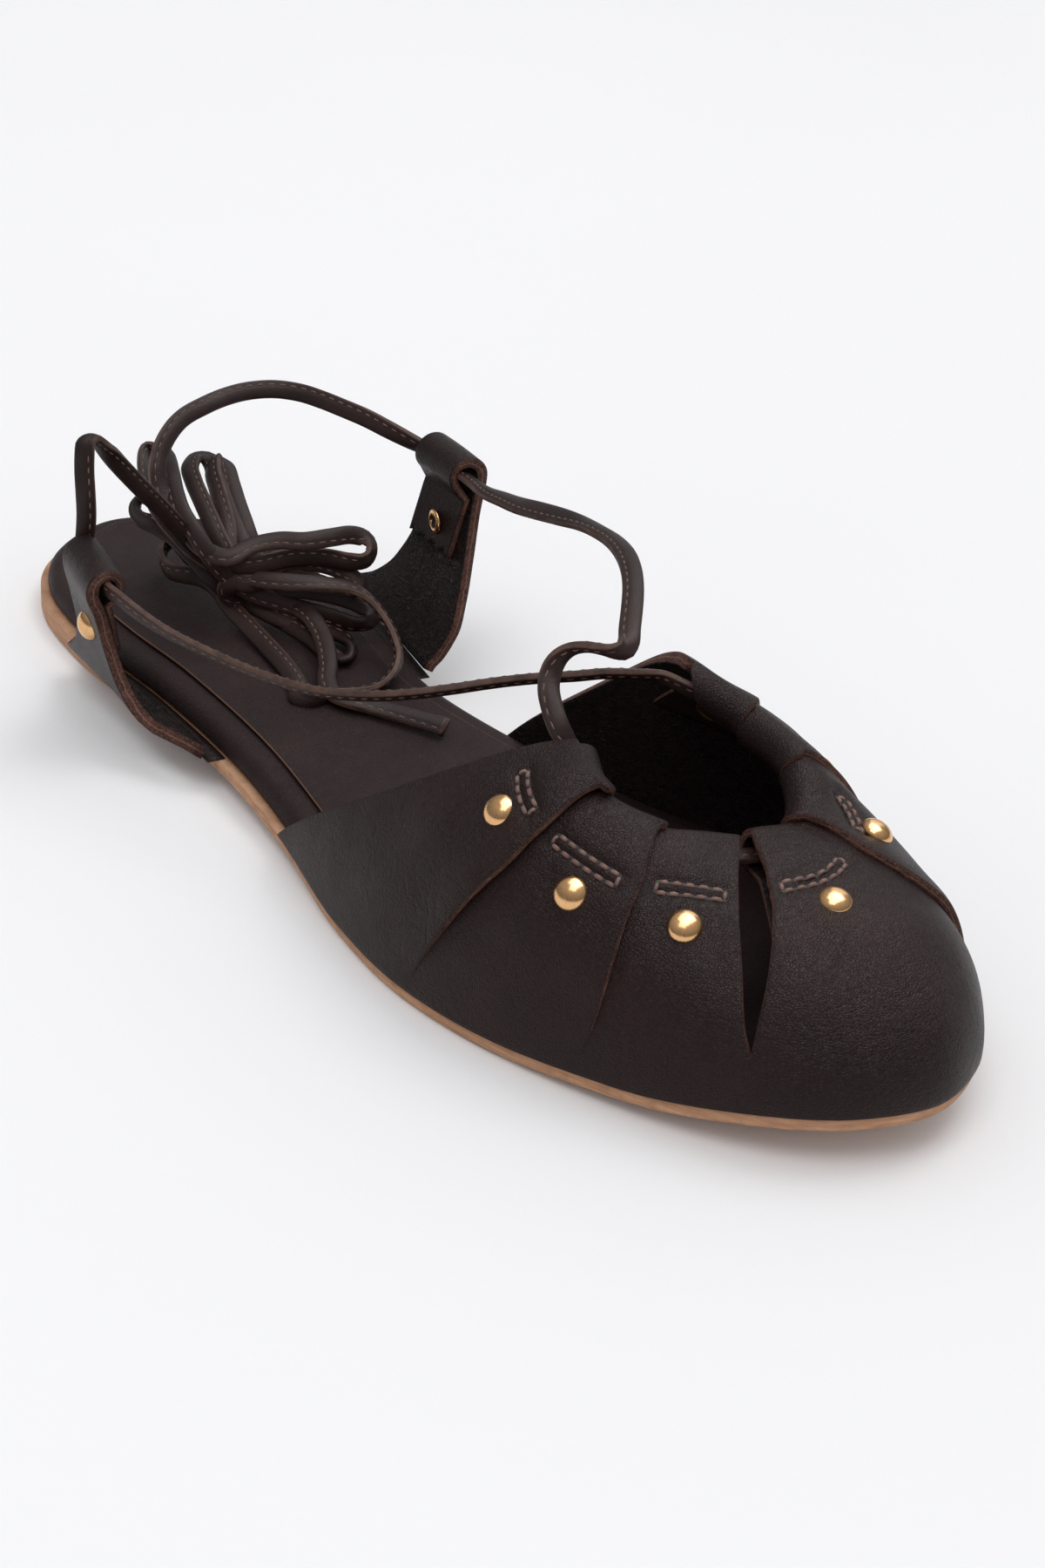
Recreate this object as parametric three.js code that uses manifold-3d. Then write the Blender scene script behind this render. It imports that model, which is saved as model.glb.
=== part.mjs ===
import * as THREE from 'three';
import { mergeVertices } from 'three/addons/utils/BufferGeometryUtils.js';
import Module from 'manifold-3d';

// Flat lace-up sandal, right foot. Millimetres, +X to the toe, +Y to the inner side of the foot, +Z up.
// The heel's back is at x = 0 and the floor at z = 0 until the whole is centred on its box at the end.

const wasm = await Module();
wasm.setup();

// Sole
const soleLength = 245;
const soleWidth = 80;
const archLift = 3;
const toeSpring = 7;
const outsolePly = 2.6;
const heelLift = 2.4;
const footbedPly = 3.7;
const footbedRound = 3;
const footbedMargin = 1.5;
const sockPly = 0.6;
const sockInset = 7;
const seam = 0.3;

// Upper
const throatHeight = 41;
const throatWidth = 43;
const upperWall = 1.6;
const upperOverhang = 0.6;
const foldFlap = 1.2;
const foldDepth = 23;

// Wings
const lateralWingHeight = 34.6;
const medialWingHeight = 42.2;
const wingFlare = 17;
const wingWall = 2.4;
const wingFlap = 1.5;
const wingFlapDepth = 15;

// Lace and the leather folded round it
const laceWidth = 3.6;
const laceThickness = 1.8;
const laceClearance = 0.4;
const laceStub = 2;
const foldWall = 1.5;
const loopWall = 1.7;
const channelRadius = laceWidth / 2 + laceClearance;
const foldRadius = channelRadius + foldWall;
const loopRadius = channelRadius + loopWall;

// Rivets
const rivetDiameter = 5.4;
const rivetDome = 1.4;
const rivetShank = 2;
const rivetWasher = 0.6;
const rivetSlack = 0.3;

// Outline of the sole: places as shares of its length, half widths as shares of its width
const outlineTable = [
  { along: 0.03, lateral: 0.204, medial: 0.216 },
  { along: 0.08, lateral: 0.308, medial: 0.316 },
  { along: 0.16, lateral: 0.355, medial: 0.352 },
  { along: 0.28, lateral: 0.358, medial: 0.300 },
  { along: 0.40, lateral: 0.379, medial: 0.229 },
  { along: 0.50, lateral: 0.419, medial: 0.281 },
  { along: 0.60, lateral: 0.480, medial: 0.379 },
  { along: 0.68, lateral: 0.501, medial: 0.469 },
  { along: 0.76, lateral: 0.465, medial: 0.521 },
  { along: 0.84, lateral: 0.386, medial: 0.496 },
  { along: 0.91, lateral: 0.290, medial: 0.410 },
  { along: 0.96, lateral: 0.184, medial: 0.306 },
  { along: 0.985, lateral: 0.085, medial: 0.215 },
];
const heelBack = 0.006;
const toeTip = 0.075;

// Side profile of the sole: lifts and thicknesses as shares of their named sizes
const profileTable = [
  { along: 0.00, arch: 0, spring: 0, heel: 1 },
  { along: 0.21, arch: 0, spring: 0, heel: 1 },
  { along: 0.30, arch: 0.6, spring: 0, heel: 0.55 },
  { along: 0.41, arch: 1, spring: 0, heel: 0.1 },
  { along: 0.52, arch: 0.5, spring: 0, heel: 0 },
  { along: 0.61, arch: 0, spring: 0, heel: 0 },
  { along: 0.73, arch: 0, spring: 0, heel: 0 },
  { along: 0.86, arch: 0, spring: 0.28, heel: 0 },
  { along: 1.00, arch: 0, spring: 1, heel: 0 },
];

// Edges of the seven tabs, from the outer end of the vamp round the toe to its inner end. base is the
// place on the sole's outline as a share of its length; rimX, rimY and rimZ are the middle of the lace's
// channel as shares of the sole's length, the throat's width and its height; full is the power of the
// section between them, where 1 is a quarter of an ellipse and 2 a straight line; lean is how far the
// section moves forward along the outline as it rises, as a share of the sole's length
const vampTable = [
  { side: -1, base: 0.497, rimX: 0.717, rimY: -0.31, rimZ: 1.00, full: 1.15, lean: 0.14 },
  { side: -1, base: 0.694, rimX: 0.751, rimY: -0.39, rimZ: 0.93, full: 1.06, lean: 0.03 },
  { side: -1, base: 0.833, rimX: 0.792, rimY: -0.26, rimZ: 0.82, full: 1.00, lean: 0 },
  { side: -1, base: 0.932, rimX: 0.814, rimY: 0.06, rimZ: 0.745, full: 0.96, lean: 0 },
  { side: 1, base: 0.925, rimX: 0.816, rimY: 0.35, rimZ: 0.748, full: 0.94, lean: 0 },
  { side: 1, base: 0.800, rimX: 0.776, rimY: 0.53, rimZ: 0.858, full: 1.35, lean: 0 },
  { side: 1, base: 0.660, rimX: 0.717, rimY: 0.57, rimZ: 0.90, full: 1.12, lean: -0.02 },
  { side: 1, base: 0.470, rimX: 0.669, rimY: 0.447, rimZ: 0.97, full: 1.15, lean: -0.10 },
];

// Slits between the tabs: the share of the section where each starts, and its gaps half way and at the rim
const slitTable = [
  { edge: 1, from: 0.04, midGap: 0.4, rimGap: 0.6 },
  { edge: 2, from: 0.04, midGap: 0.4, rimGap: 0.6 },
  { edge: 3, from: 0.16, midGap: 3.8, rimGap: 2.6 },
  { edge: 4, from: 0.06, midGap: 0.4, rimGap: 0.6 },
  { edge: 5, from: 0.06, midGap: 0.4, rimGap: 0.6 },
  { edge: 6, from: 0.06, midGap: 0.4, rimGap: 0.6 },
];

// Rivets of the tabs: place along the numbered edges and up the section
const rivetTable = [
  { edge: 0.75, up: 0.65 },
  { edge: 1.65, up: 0.57 },
  { edge: 2.60, up: 0.60 },
  { edge: 3.43, up: 0.74 },
  { edge: 4.25, up: 0.70 },
  { edge: 5.35, up: 0.59 },
  { edge: 6.35, up: 0.63 },
];

// Wings from the sole up to the loop: heights as shares of the wing's height, its rear and front edges as
// shares of the sole's length, and how far each edge stands out from the sole as shares of the flare. The
// rivet's place is a share of the way across and up
const lateralWing = {
  side: -1,
  height: lateralWingHeight,
  rivet: { across: 0.45, up: 0.59 },
  rows: [
    { up: 0.00, rear: 0.180, front: 0.388, rearOut: 0.03, frontOut: 0.03 },
    { up: 0.07, rear: 0.188, front: 0.346, rearOut: 0.12, frontOut: 0.34 },
    { up: 0.20, rear: 0.212, front: 0.328, rearOut: 0.26, frontOut: 0.47 },
    { up: 0.36, rear: 0.234, front: 0.311, rearOut: 0.38, frontOut: 0.52 },
    { up: 0.58, rear: 0.247, front: 0.305, rearOut: 0.49, frontOut: 0.60 },
    { up: 0.80, rear: 0.250, front: 0.310, rearOut: 0.59, frontOut: 0.72 },
    { up: 1.00, rear: 0.250, front: 0.315, rearOut: 0.66, frontOut: 0.85 },
  ],
};
const medialWing = {
  side: 1,
  height: medialWingHeight,
  rivet: { across: 0.48, up: 0.68 },
  rows: [
    { up: 0.00, rear: 0.195, front: 0.358, rearOut: 0.03, frontOut: 0.03 },
    { up: 0.07, rear: 0.202, front: 0.358, rearOut: 0.09, frontOut: 0.16 },
    { up: 0.20, rear: 0.233, front: 0.358, rearOut: 0.20, frontOut: 0.32 },
    { up: 0.36, rear: 0.255, front: 0.349, rearOut: 0.31, frontOut: 0.46 },
    { up: 0.58, rear: 0.267, front: 0.334, rearOut: 0.45, frontOut: 0.61 },
    { up: 0.80, rear: 0.268, front: 0.322, rearOut: 0.60, frontOut: 0.73 },
    { up: 1.00, rear: 0.267, front: 0.317, rearOut: 0.73, frontOut: 0.82 },
  ],
};

// The lace over the instep: shares of the way from the channel's end to the loop, with offsets from the
// straight line to the inner side and up, as shares of the throat's width and height
const toMedialLoop = [
  { way: 0.016, inward: 0.004, up: 0.115 },
  { way: 0.035, inward: -0.02, up: 0.18 },
  { way: 0.07, inward: -0.03, up: 0.235 },
  { way: 0.092, inward: -0.005, up: 0.277 },
  { way: 0.089, inward: 0.036, up: 0.306 },
  { way: 0.076, inward: 0.083, up: 0.326 },
  { way: 0.049, inward: 0.13, up: 0.341 },
  { way: 0.026, inward: 0.173, up: 0.351 },
  { way: 0.016, inward: 0.22, up: 0.361 },
  { way: 0.023, inward: 0.242, up: 0.375 },
  { way: 0.051, inward: 0.263, up: 0.394 },
  { way: 0.091, inward: 0.297, up: 0.418 },
  { way: 0.195, inward: 0.357, up: 0.446 },
  { way: 0.33, inward: 0.361, up: 0.41 },
  { way: 0.482, inward: 0.291, up: 0.33 },
  { way: 0.652, inward: 0.169, up: 0.22 },
  { way: 0.811, inward: 0.074, up: 0.11 },
  { way: 0.975, inward: 0.008, up: 0.01 },
];
const toLateralLoop = [
  { way: 0.032, inward: 0.012, up: 0.012 },
  { way: 0.056, inward: -0.044, up: 0.025 },
  { way: 0.083, inward: -0.111, up: 0.033 },
  { way: 0.107, inward: -0.184, up: 0.032 },
  { way: 0.143, inward: -0.22, up: 0.019 },
  { way: 0.185, inward: -0.243, up: -0.004 },
  { way: 0.221, inward: -0.278, up: -0.026 },
  { way: 0.262, inward: -0.329, up: -0.055 },
  { way: 0.32, inward: -0.376, up: -0.091 },
  { way: 0.391, inward: -0.388, up: -0.125 },
  { way: 0.492, inward: -0.361, up: -0.152 },
  { way: 0.614, inward: -0.285, up: -0.15 },
  { way: 0.741, inward: -0.2, up: -0.123 },
  { way: 0.848, inward: -0.134, up: -0.079 },
  { way: 0.93, inward: -0.067, up: -0.034 },
];

// Free lace: routes from the rear of each loop to the tied bundle on the insole, and its cut end
const lateralTail = [
  [59.3, -37.4, 37.1], [59.4, -37.2, 39.6], [60.3, -37.1, 42.6], [60.9, -37.4, 46.5], [60.2, -37.2, 50.5],
  [60.0, -37.0, 53.6], [59.5, -36.3, 55.4], [58.4, -34.2, 55.2], [56.9, -30.8, 51.8], [55.9, -27.7, 48.0],
  [54.6, -22.5, 42.0], [53.2, -16.5, 36.4], [52.6, -12.0, 33.6], [52.4, -9.0, 31.95],
];
const medialTail = [
  [63.7, 34.0, 42.9], [58.9, 30.5, 44.4], [53.8, 28.8, 45.2], [49.0, 26.8, 45.8], [44.1, 24.9, 46.2],
  [39.5, 22.7, 46.4], [35.6, 19.1, 46.4], [33.2, 14.6, 46.0], [32.9, 9.3, 45.6], [33.4, 3.9, 44.8],
  [34.0, -0.9, 43.6], [35.5, -4.7, 41.8], [37.2, -7.6, 39.4], [39.4, -9.2, 36.4], [41.4, -9.4, 33.6],
  [43.4, -8.8, 31.95],
];
const freeEnd = [
  [92.2, -5.0, 12.7], [95.4, -5.2, 12.5], [98.7, -4.0, 12.4], [102.1, -1.4, 12.3], [106.6, 1.4, 12.2],
  [111.2, 4.0, 12.1], [115.4, 6.3, 12.0],
];
const hankRear = new THREE.Vector2(24, 3);
const hankFront = new THREE.Vector2(80, 8.5);
const hankWidth = 32;
const hankTop = 31;

// How finely the faceted forms are cut
const outlineSteps = 72;
const tabSteps = 4;
const sectionSteps = 7;
const wingColumns = 5;
const tubeSides = 10;
const laceSides = 8;
const laceSteps = 80;
const roundSides = 12;

// Colours of the finishes
const darkLeather = { color: 0x2b211f, roughness: 0.45, metalness: 0 };
const lining = { color: 0x3a2c2b, roughness: 0.7, metalness: 0 };
const tanSole = { color: 0xa0714f, roughness: 0.65, metalness: 0 };
const laceLeather = { color: 0x4a3a36, roughness: 0.5, metalness: 0 };
const paleGold = { color: 0xd0a46c, roughness: 0.3, metalness: 1 };

// Value of a table's column at x, through its rows without overshooting them
function steady(rows, key, column, x) {
  const last = rows.length - 1;
  let i = 0;
  while (i < last - 1 && x > rows[i + 1][key]) i += 1;
  const rise = (k) => (rows[k + 1][column] - rows[k][column]) / (rows[k + 1][key] - rows[k][key]);
  const slope = (k) => {
    if (k === 0 || k === last) return 0;
    const [before, after] = [rise(k - 1), rise(k)];
    return before * after > 0 ? (2 * before * after) / (before + after) : 0;
  };
  const span = rows[i + 1][key] - rows[i][key];
  const t = THREE.MathUtils.clamp((x - rows[i][key]) / span, 0, 1);
  return hermite(rows[i][column], slope(i) * span, rows[i + 1][column], slope(i + 1) * span, t);
}

// Value of a column at a place s along evenly numbered rows, in round passages
function flowing(rows, column, s) {
  const last = rows.length - 1;
  const i = THREE.MathUtils.clamp(Math.floor(s), 0, last - 1);
  const value = (k) => rows[THREE.MathUtils.clamp(k, 0, last)][column];
  const slope = (k) => (value(k + 1) - value(k - 1)) / (k === 0 || k === last ? 1 : 2);
  return hermite(value(i), slope(i), value(i + 1), slope(i + 1), s - i);
}

// Cubic from a to b with the end slopes given
function hermite(a, slopeA, b, slopeB, t) {
  return a * (1 + 2 * t) * (1 - t) ** 2 + slopeA * t * (1 - t) ** 2
    + b * t * t * (3 - 2 * t) + slopeB * t * t * (t - 1);
}

// The sole's outline, from the heel's back along the outer side to the toe and back along the inner side
const outline = new THREE.CatmullRomCurve3([
  new THREE.Vector3(0, heelBack * soleWidth, 0),
  ...outlineTable.map((row) => new THREE.Vector3(row.along * soleLength, -row.lateral * soleWidth, 0)),
  new THREE.Vector3(soleLength, toeTip * soleWidth, 0),
  ...outlineTable.map((row) => new THREE.Vector3(row.along * soleLength, row.medial * soleWidth, 0)).reverse(),
], true, 'centripetal');
outline.arcLengthDivisions = 600;
const outlineLength = outline.getLength();

// Point of the outline at a share u of its way round, moved out by a distance
function outlinePoint(u, out) {
  const point = outline.getPointAt(u);
  const along = outline.getTangentAt(u);
  return new THREE.Vector3(point.x + along.y * out, point.y - along.x * out, 0);
}

function outlineNormal(u) {
  const along = outline.getTangentAt(u);
  return new THREE.Vector3(along.y, -along.x, 0);
}

// Share of the way round of the foremost point
const toeShare = Array.from({ length: 400 }, (_, i) => 0.4 + i / 2000)
  .reduce((best, u) => (outline.getPointAt(u).x > outline.getPointAt(best).x ? u : best));

// Share of the way round at which the outline passes x on one side: -1 outer, 1 inner
function outlineShare(side, x) {
  let [low, high] = side < 0 ? [0, toeShare] : [1, toeShare];
  for (let step = 0; step < 30; step += 1) {
    const middle = (low + high) / 2;
    if (outline.getPointAt(middle).x < x) low = middle;
    else high = middle;
  }
  return (low + high) / 2;
}

// Heights of the layers at x
function groundAt(x) {
  return archLift * steady(profileTable, 'along', 'arch', x / soleLength)
    + toeSpring * steady(profileTable, 'along', 'spring', x / soleLength);
}

function outsoleTop(x) {
  return groundAt(x) + outsolePly + heelLift * steady(profileTable, 'along', 'heel', x / soleLength);
}

function footbedTop(x) {
  return outsoleTop(x) + seam + footbedPly;
}

// A closed mesh with its faces turned out
function closedGeometry(positions, indices) {
  const geometry = new THREE.BufferGeometry();
  geometry.setAttribute('position', new THREE.Float32BufferAttribute(positions, 3));
  const corner = (i) => new THREE.Vector3(...positions.slice(3 * i, 3 * i + 3));
  let volume = 0;
  for (let i = 0; i < indices.length; i += 3) {
    const [a, b, c] = [0, 1, 2].map((k) => corner(indices[i + k]));
    volume += a.dot(b.cross(c));
  }
  if (volume < 0) indices.reverse();
  geometry.setIndex(indices);
  return geometry;
}

// Closed rings skinned one after another, with both ends closed by strips between points i and count - i
function loft(rings) {
  const count = rings[0].length;
  const top = (rings.length - 1) * count;
  const indices = [];
  for (let r = 0; r < rings.length - 1; r += 1) {
    for (let i = 0; i < count; i += 1) {
      const [a, b] = [r * count + i, r * count + (i + 1) % count];
      indices.push(a, b, b + count, a, b + count, a + count);
    }
  }
  for (let i = 0; i < Math.floor(count / 2); i += 1) {
    const [c, d] = [(count - i) % count, count - i - 1];
    if (c !== i) indices.push(i, c, i + 1, top + i, top + i + 1, top + c);
    if (d !== i + 1) indices.push(i + 1, c, d, top + i + 1, top + d, top + c);
  }
  return closedGeometry(rings.flat().flatMap((point) => point.toArray()), indices);
}

function toSolid(geometry) {
  const bare = geometry.clone();
  bare.deleteAttribute('normal');
  bare.deleteAttribute('uv');
  const merged = mergeVertices(bare, 1e-4);
  return new wasm.Manifold(new wasm.Mesh({
    numProp: 3,
    vertProperties: new Float32Array(merged.getAttribute('position').array),
    triVerts: new Uint32Array(merged.index.array),
  }));
}

function fromSolid(solid) {
  const mesh = solid.getMesh();
  return closedGeometry(Array.from(mesh.vertProperties), Array.from(mesh.triVerts));
}

// Oval section with its width along x
function oval(width, thickness, sides) {
  return Array.from({ length: sides }, (_, i) => {
    const angle = (2 * Math.PI * i) / sides;
    return new THREE.Vector2((Math.cos(angle) * width) / 2, (Math.sin(angle) * thickness) / 2);
  });
}

// Round rod along a curve
function rod(curve, radius, sides, steps) {
  const shape = new THREE.Shape(oval(2 * radius, 2 * radius, sides));
  return new THREE.ExtrudeGeometry(shape, { steps, extrudePath: curve, curveSegments: sides });
}

// Flat oval band along a curve, its width kept across the direction that face gives
function band(curve, width, thickness, sides, steps, face) {
  const section = oval(width, thickness, sides);
  const rings = Array.from({ length: steps + 1 }, (_, k) => {
    const u = k / steps;
    const along = curve.getTangentAt(u);
    const across = along.clone().cross(face(u)).normalize();
    const up = across.clone().cross(along);
    return section.map((p) => curve.getPointAt(u).addScaledVector(across, p.x).addScaledVector(up, p.y));
  });
  return loft(rings);
}

// One layer of the sole: the outline set in by a distance at each level between its two faces
function soleLayer(bottom, top, levels, inset) {
  const rings = levels.map(({ up, inwards }) => Array.from({ length: outlineSteps }, (_, i) => {
    const u = i / outlineSteps;
    const point = outlinePoint(u, -inwards - inset(u));
    const x = THREE.MathUtils.clamp(point.x, 0, soleLength);
    point.z = THREE.MathUtils.lerp(bottom(x), top(x), up);
    return point;
  }));
  return loft(rings);
}

function makeOutsole() {
  const levels = [
    { up: 0, inwards: 1.2 },
    { up: 0.35, inwards: 0 },
    { up: 1, inwards: 0 },
  ];
  return soleLayer(groundAt, outsoleTop, levels, () => 0);
}

// How far the footbed is set in: under the vamp it leaves room for the wall
const vampShares = [0, 7].map((edge) => outlineShare(vampTable[edge].side, vampTable[edge].base * soleLength));
function footbedInset(u) {
  const ease = 0.012;
  const before = THREE.MathUtils.smoothstep(u, vampShares[0] - 2 * ease, vampShares[0] - ease);
  const after = 1 - THREE.MathUtils.smoothstep(u, vampShares[1] + ease, vampShares[1] + 2 * ease);
  return (upperWall + footbedMargin) * Math.min(before, after);
}

function makeFootbed() {
  const levels = [
    { up: 0, inwards: footbedRound },
    { up: 0.15, inwards: 0.3 * footbedRound },
    { up: 0.5, inwards: 0 },
    { up: 0.85, inwards: 0.3 * footbedRound },
    { up: 1, inwards: footbedRound },
  ];
  return soleLayer((x) => outsoleTop(x) + seam, footbedTop, levels, footbedInset);
}

function makeSock() {
  const levels = [{ up: 0, inwards: sockInset }, { up: 1, inwards: sockInset }];
  return soleLayer((x) => footbedTop(x) + seam, (x) => footbedTop(x) + seam + sockPly, levels, () => 0);
}

// Middle of the lace's channel at a place along the numbered edges
function rimPoint(edge) {
  return new THREE.Vector3(
    flowing(vampTable, 'rimX', edge) * soleLength,
    flowing(vampTable, 'rimY', edge) * throatWidth,
    flowing(vampTable, 'rimZ', edge) * throatHeight,
  );
}

// Outline's share of the vamp's foot at a place along the numbered edges
const footShares = vampTable.map((row) => ({ share: outlineShare(row.side, row.base * soleLength) }));

// Outer face of the vamp: a power of a quarter ellipse from the sole up to the top of the fold
function vampPoint(edge, up) {
  const rise = Math.sin((THREE.MathUtils.clamp(up, 0, 1) * Math.PI) / 2);
  const full = flowing(vampTable, 'full', edge);
  const lean = (flowing(vampTable, 'lean', edge) * soleLength) / outlineLength;
  const foot = outlinePoint(flowing(footShares, 'share', edge) + lean * rise ** full, upperOverhang);
  const top = rimPoint(edge);
  top.z += foldRadius;
  const footZ = outsoleTop(Math.min(foot.x, soleLength)) + seam;
  const out = Math.sqrt(1 - rise * rise) ** full;
  return new THREE.Vector3(
    THREE.MathUtils.lerp(top.x, foot.x, out),
    THREE.MathUtils.lerp(top.y, foot.y, out),
    THREE.MathUtils.lerp(footZ, top.z, rise ** full),
  );
}

// Normal of a face given as a function of two parameters, from small steps of both
function faceNormal(face, a, b, stepA, lowB, highB) {
  const [b0, b1] = [Math.max(b - 0.01, lowB), Math.min(b + 0.01, highB)];
  const alongA = face(a + stepA, b).sub(face(a - stepA, b));
  const alongB = face(a, b1).sub(face(a, b0));
  return alongA.cross(alongB).normalize();
}

const vampNormal = (edge, up) => faceNormal(vampPoint, edge, THREE.MathUtils.clamp(up, 0.01, 0.96), 0.02, 0, 1);

// Length of the section from a height up to the fold
function reachToFold(edge, up) {
  const steps = 6;
  let length = 0;
  for (let k = 0; k < steps; k += 1) {
    const [a, b] = [k, k + 1].map((i) => up + ((1 - up) * i) / steps);
    length += vampPoint(edge, a).distanceTo(vampPoint(edge, b));
  }
  return length;
}

// Wall with a second layer near the fold, where the tab's end is sewn down inside
function vampThickness(edge, up) {
  return upperWall + foldFlap * (1 - THREE.MathUtils.smoothstep(reachToFold(edge, up), foldDepth - 1, foldDepth + 1));
}

const vampEdges = vampTable.length - 1;

function vampRing(edge) {
  const ups = Array.from({ length: sectionSteps + 1 }, (_, i) => i / sectionSteps);
  const outer = ups.map((up) => vampPoint(edge, up));
  const inner = ups.map((up, i) => outer[i].clone().addScaledVector(vampNormal(edge, up), -vampThickness(edge, up)));
  inner[0].z = outer[0].z;
  return [...outer, ...inner.reverse()];
}

// Curve along the rim, run on past both ends by a distance
function rimCurve(beyond) {
  const inside = Array.from({ length: 4 * vampEdges + 1 }, (_, i) => rimPoint(i / 4));
  const last = inside.length - 1;
  const runOn = (end, next) => end.clone().add(end.clone().sub(next).setLength(beyond));
  const points = beyond > 0
    ? [runOn(inside[0], inside[1]), ...inside, runOn(inside[last], inside[last - 1])]
    : inside;
  return new THREE.CatmullRomCurve3(points);
}

// Blade that cuts one slit through wall and fold
function slitBlade({ edge, from, midGap, rimGap }) {
  const ups = Array.from({ length: 8 }, (_, i) => THREE.MathUtils.lerp(from, 1, i / 7));
  const gapAt = (up) => {
    const t = (up - from) / (1 - from);
    return Math.max(0.3, rimGap * t ** 2 + midGap * Math.sin(Math.PI * t ** 0.8));
  };
  const reach = 2 * foldRadius + 2;
  const face = (turn) => {
    const shifted = (up) => {
      const speed = vampPoint(edge + 0.01, up).distanceTo(vampPoint(edge - 0.01, up)) / 0.02;
      return edge + (turn * gapAt(up)) / (2 * speed);
    };
    const level = (up, out) => {
      const place = shifted(up);
      return vampPoint(place, up).addScaledVector(vampNormal(edge, up), out);
    };
    const middle = rimPoint(shifted(1));
    const inwards = middle.clone().sub(vampPoint(edge, 0)).setZ(0).setLength(reach);
    const over = middle.clone().add(inwards).setZ(middle.z + reach);
    const under = middle.clone().add(inwards).setZ(middle.z - reach);
    return [
      ...ups.map((up) => level(up, 3)),
      over,
      under,
      ...ups.map((up) => level(up, -upperWall - foldFlap - 2)).reverse(),
    ];
  };
  return loft([face(-1), face(1)]);
}

// Turns a form made along +Z to stand on a point along a direction
function standOn(object, point, direction) {
  object.position.copy(point);
  object.quaternion.setFromUnitVectors(new THREE.Vector3(0, 0, 1), direction);
  object.updateMatrix();
  return object;
}

// Hole for a rivet's shank
function shankHole(point, normal) {
  const geometry = new THREE.CylinderGeometry(rivetShank / 2 + seam, rivetShank / 2 + seam, 16, tubeSides);
  geometry.rotateX(Math.PI / 2);
  return toSolid(geometry.applyMatrix4(standOn(new THREE.Object3D(), point, normal).matrix));
}

const tabRivets = rivetTable.map(({ edge, up }) => ({
  point: vampPoint(edge, up),
  normal: vampNormal(edge, up),
  grip: vampThickness(edge, up),
}));

function makeUpper() {
  const rings = Array.from({ length: vampEdges * tabSteps + 1 }, (_, i) => vampRing(i / tabSteps));
  const rimSteps = vampEdges * tabSteps;
  let upper = toSolid(loft(rings)).add(toSolid(rod(rimCurve(0), foldRadius, tubeSides, rimSteps)));
  upper = upper.subtract(toSolid(rod(rimCurve(4), channelRadius, tubeSides, rimSteps)));
  slitTable.forEach((slit) => {
    upper = upper.subtract(toSolid(slitBlade(slit)));
  });
  tabRivets.forEach(({ point, normal }) => {
    upper = upper.subtract(shankHole(point, normal));
  });
  return fromSolid(upper);
}

// Outer face of a wing: across runs from its rear edge to its front, up from the sole to the loop
function wingPoint(wing, across, up) {
  const row = (column) => steady(wing.rows, 'up', column, up);
  const x = soleLength * THREE.MathUtils.lerp(row('rear'), row('front'), across);
  const out = wingFlare * THREE.MathUtils.lerp(row('rearOut'), row('frontOut'), across) + seam + wingWall;
  const point = outlinePoint(outlineShare(wing.side, x), out);
  const foot = outsoleTop(x) + 2 * seam;
  point.z = THREE.MathUtils.lerp(foot, wing.height, up);
  return point;
}

function wingNormal(wing, across, up) {
  const face = (a, b) => wingPoint(wing, a, b);
  return faceNormal(face, across, THREE.MathUtils.clamp(up, 0.02, 0.98), 0.02, 0, 1).multiplyScalar(-wing.side);
}

// Middle of the loop at a place across the wing
function loopPoint(wing, across) {
  const point = wingPoint(wing, across, 1);
  const inwards = outlineNormal(outlineShare(wing.side, point.x)).negate();
  return point.addScaledVector(inwards, loopRadius);
}

function loopCurve(wing, beyond) {
  const [rear, front] = [loopPoint(wing, 0), loopPoint(wing, 1)];
  const along = front.clone().sub(rear).normalize();
  return new THREE.LineCurve3(rear.addScaledVector(along, -beyond), front.addScaledVector(along, beyond));
}

function wingThickness(wing, up) {
  const below = (1 - up) * wing.height;
  return wingWall + wingFlap * (1 - THREE.MathUtils.smoothstep(below, wingFlapDepth - 1, wingFlapDepth + 1));
}

function makeWing(wing) {
  const ups = [0, 0.035, 0.07, 0.13, 0.2, 0.28, 0.36, 0.46, 0.58, 0.62, 0.7, 0.8, 0.9, 1];
  const rings = Array.from({ length: wingColumns + 1 }, (_, i) => {
    const across = i / wingColumns;
    const outer = ups.map((up) => wingPoint(wing, across, up));
    const inner = ups.map((up, k) => outer[k].clone()
      .addScaledVector(wingNormal(wing, across, up), -wingThickness(wing, up)));
    return [...outer, ...inner.reverse()];
  });
  const hole = shankHole(wingRivetSeat(wing).point, wingRivetSeat(wing).normal);
  const solid = toSolid(loft(rings))
    .add(toSolid(rod(loopCurve(wing, 0), loopRadius, roundSides, 1)))
    .subtract(toSolid(rod(loopCurve(wing, 4), channelRadius, roundSides, 1)))
    .subtract(hole);
  return fromSolid(solid);
}

function wingRivetSeat(wing) {
  return {
    point: wingPoint(wing, wing.rivet.across, wing.rivet.up),
    normal: wingNormal(wing, wing.rivet.across, wing.rivet.up),
    grip: wingThickness(wing, wing.rivet.up),
  };
}

// Domed rivet: washer inside, shank through the leather, dome outside
function makeRivet(grip) {
  const [head, shank] = [rivetDiameter / 2, rivetShank / 2];
  const washerTop = -grip - seam - rivetSlack;
  const profile = [
    [0, washerTop - rivetWasher], [0.8 * head, washerTop - rivetWasher], [0.8 * head, washerTop],
    [shank, washerTop], [shank, seam], [head, seam], [0.94 * head, seam + 0.4 * rivetDome],
    [0.6 * head, seam + 0.85 * rivetDome], [0, seam + rivetDome],
  ];
  const points = profile.map(([radius, height]) => new THREE.Vector2(radius, height));
  return new THREE.LatheGeometry(points, roundSides).rotateX(Math.PI / 2);
}

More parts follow.
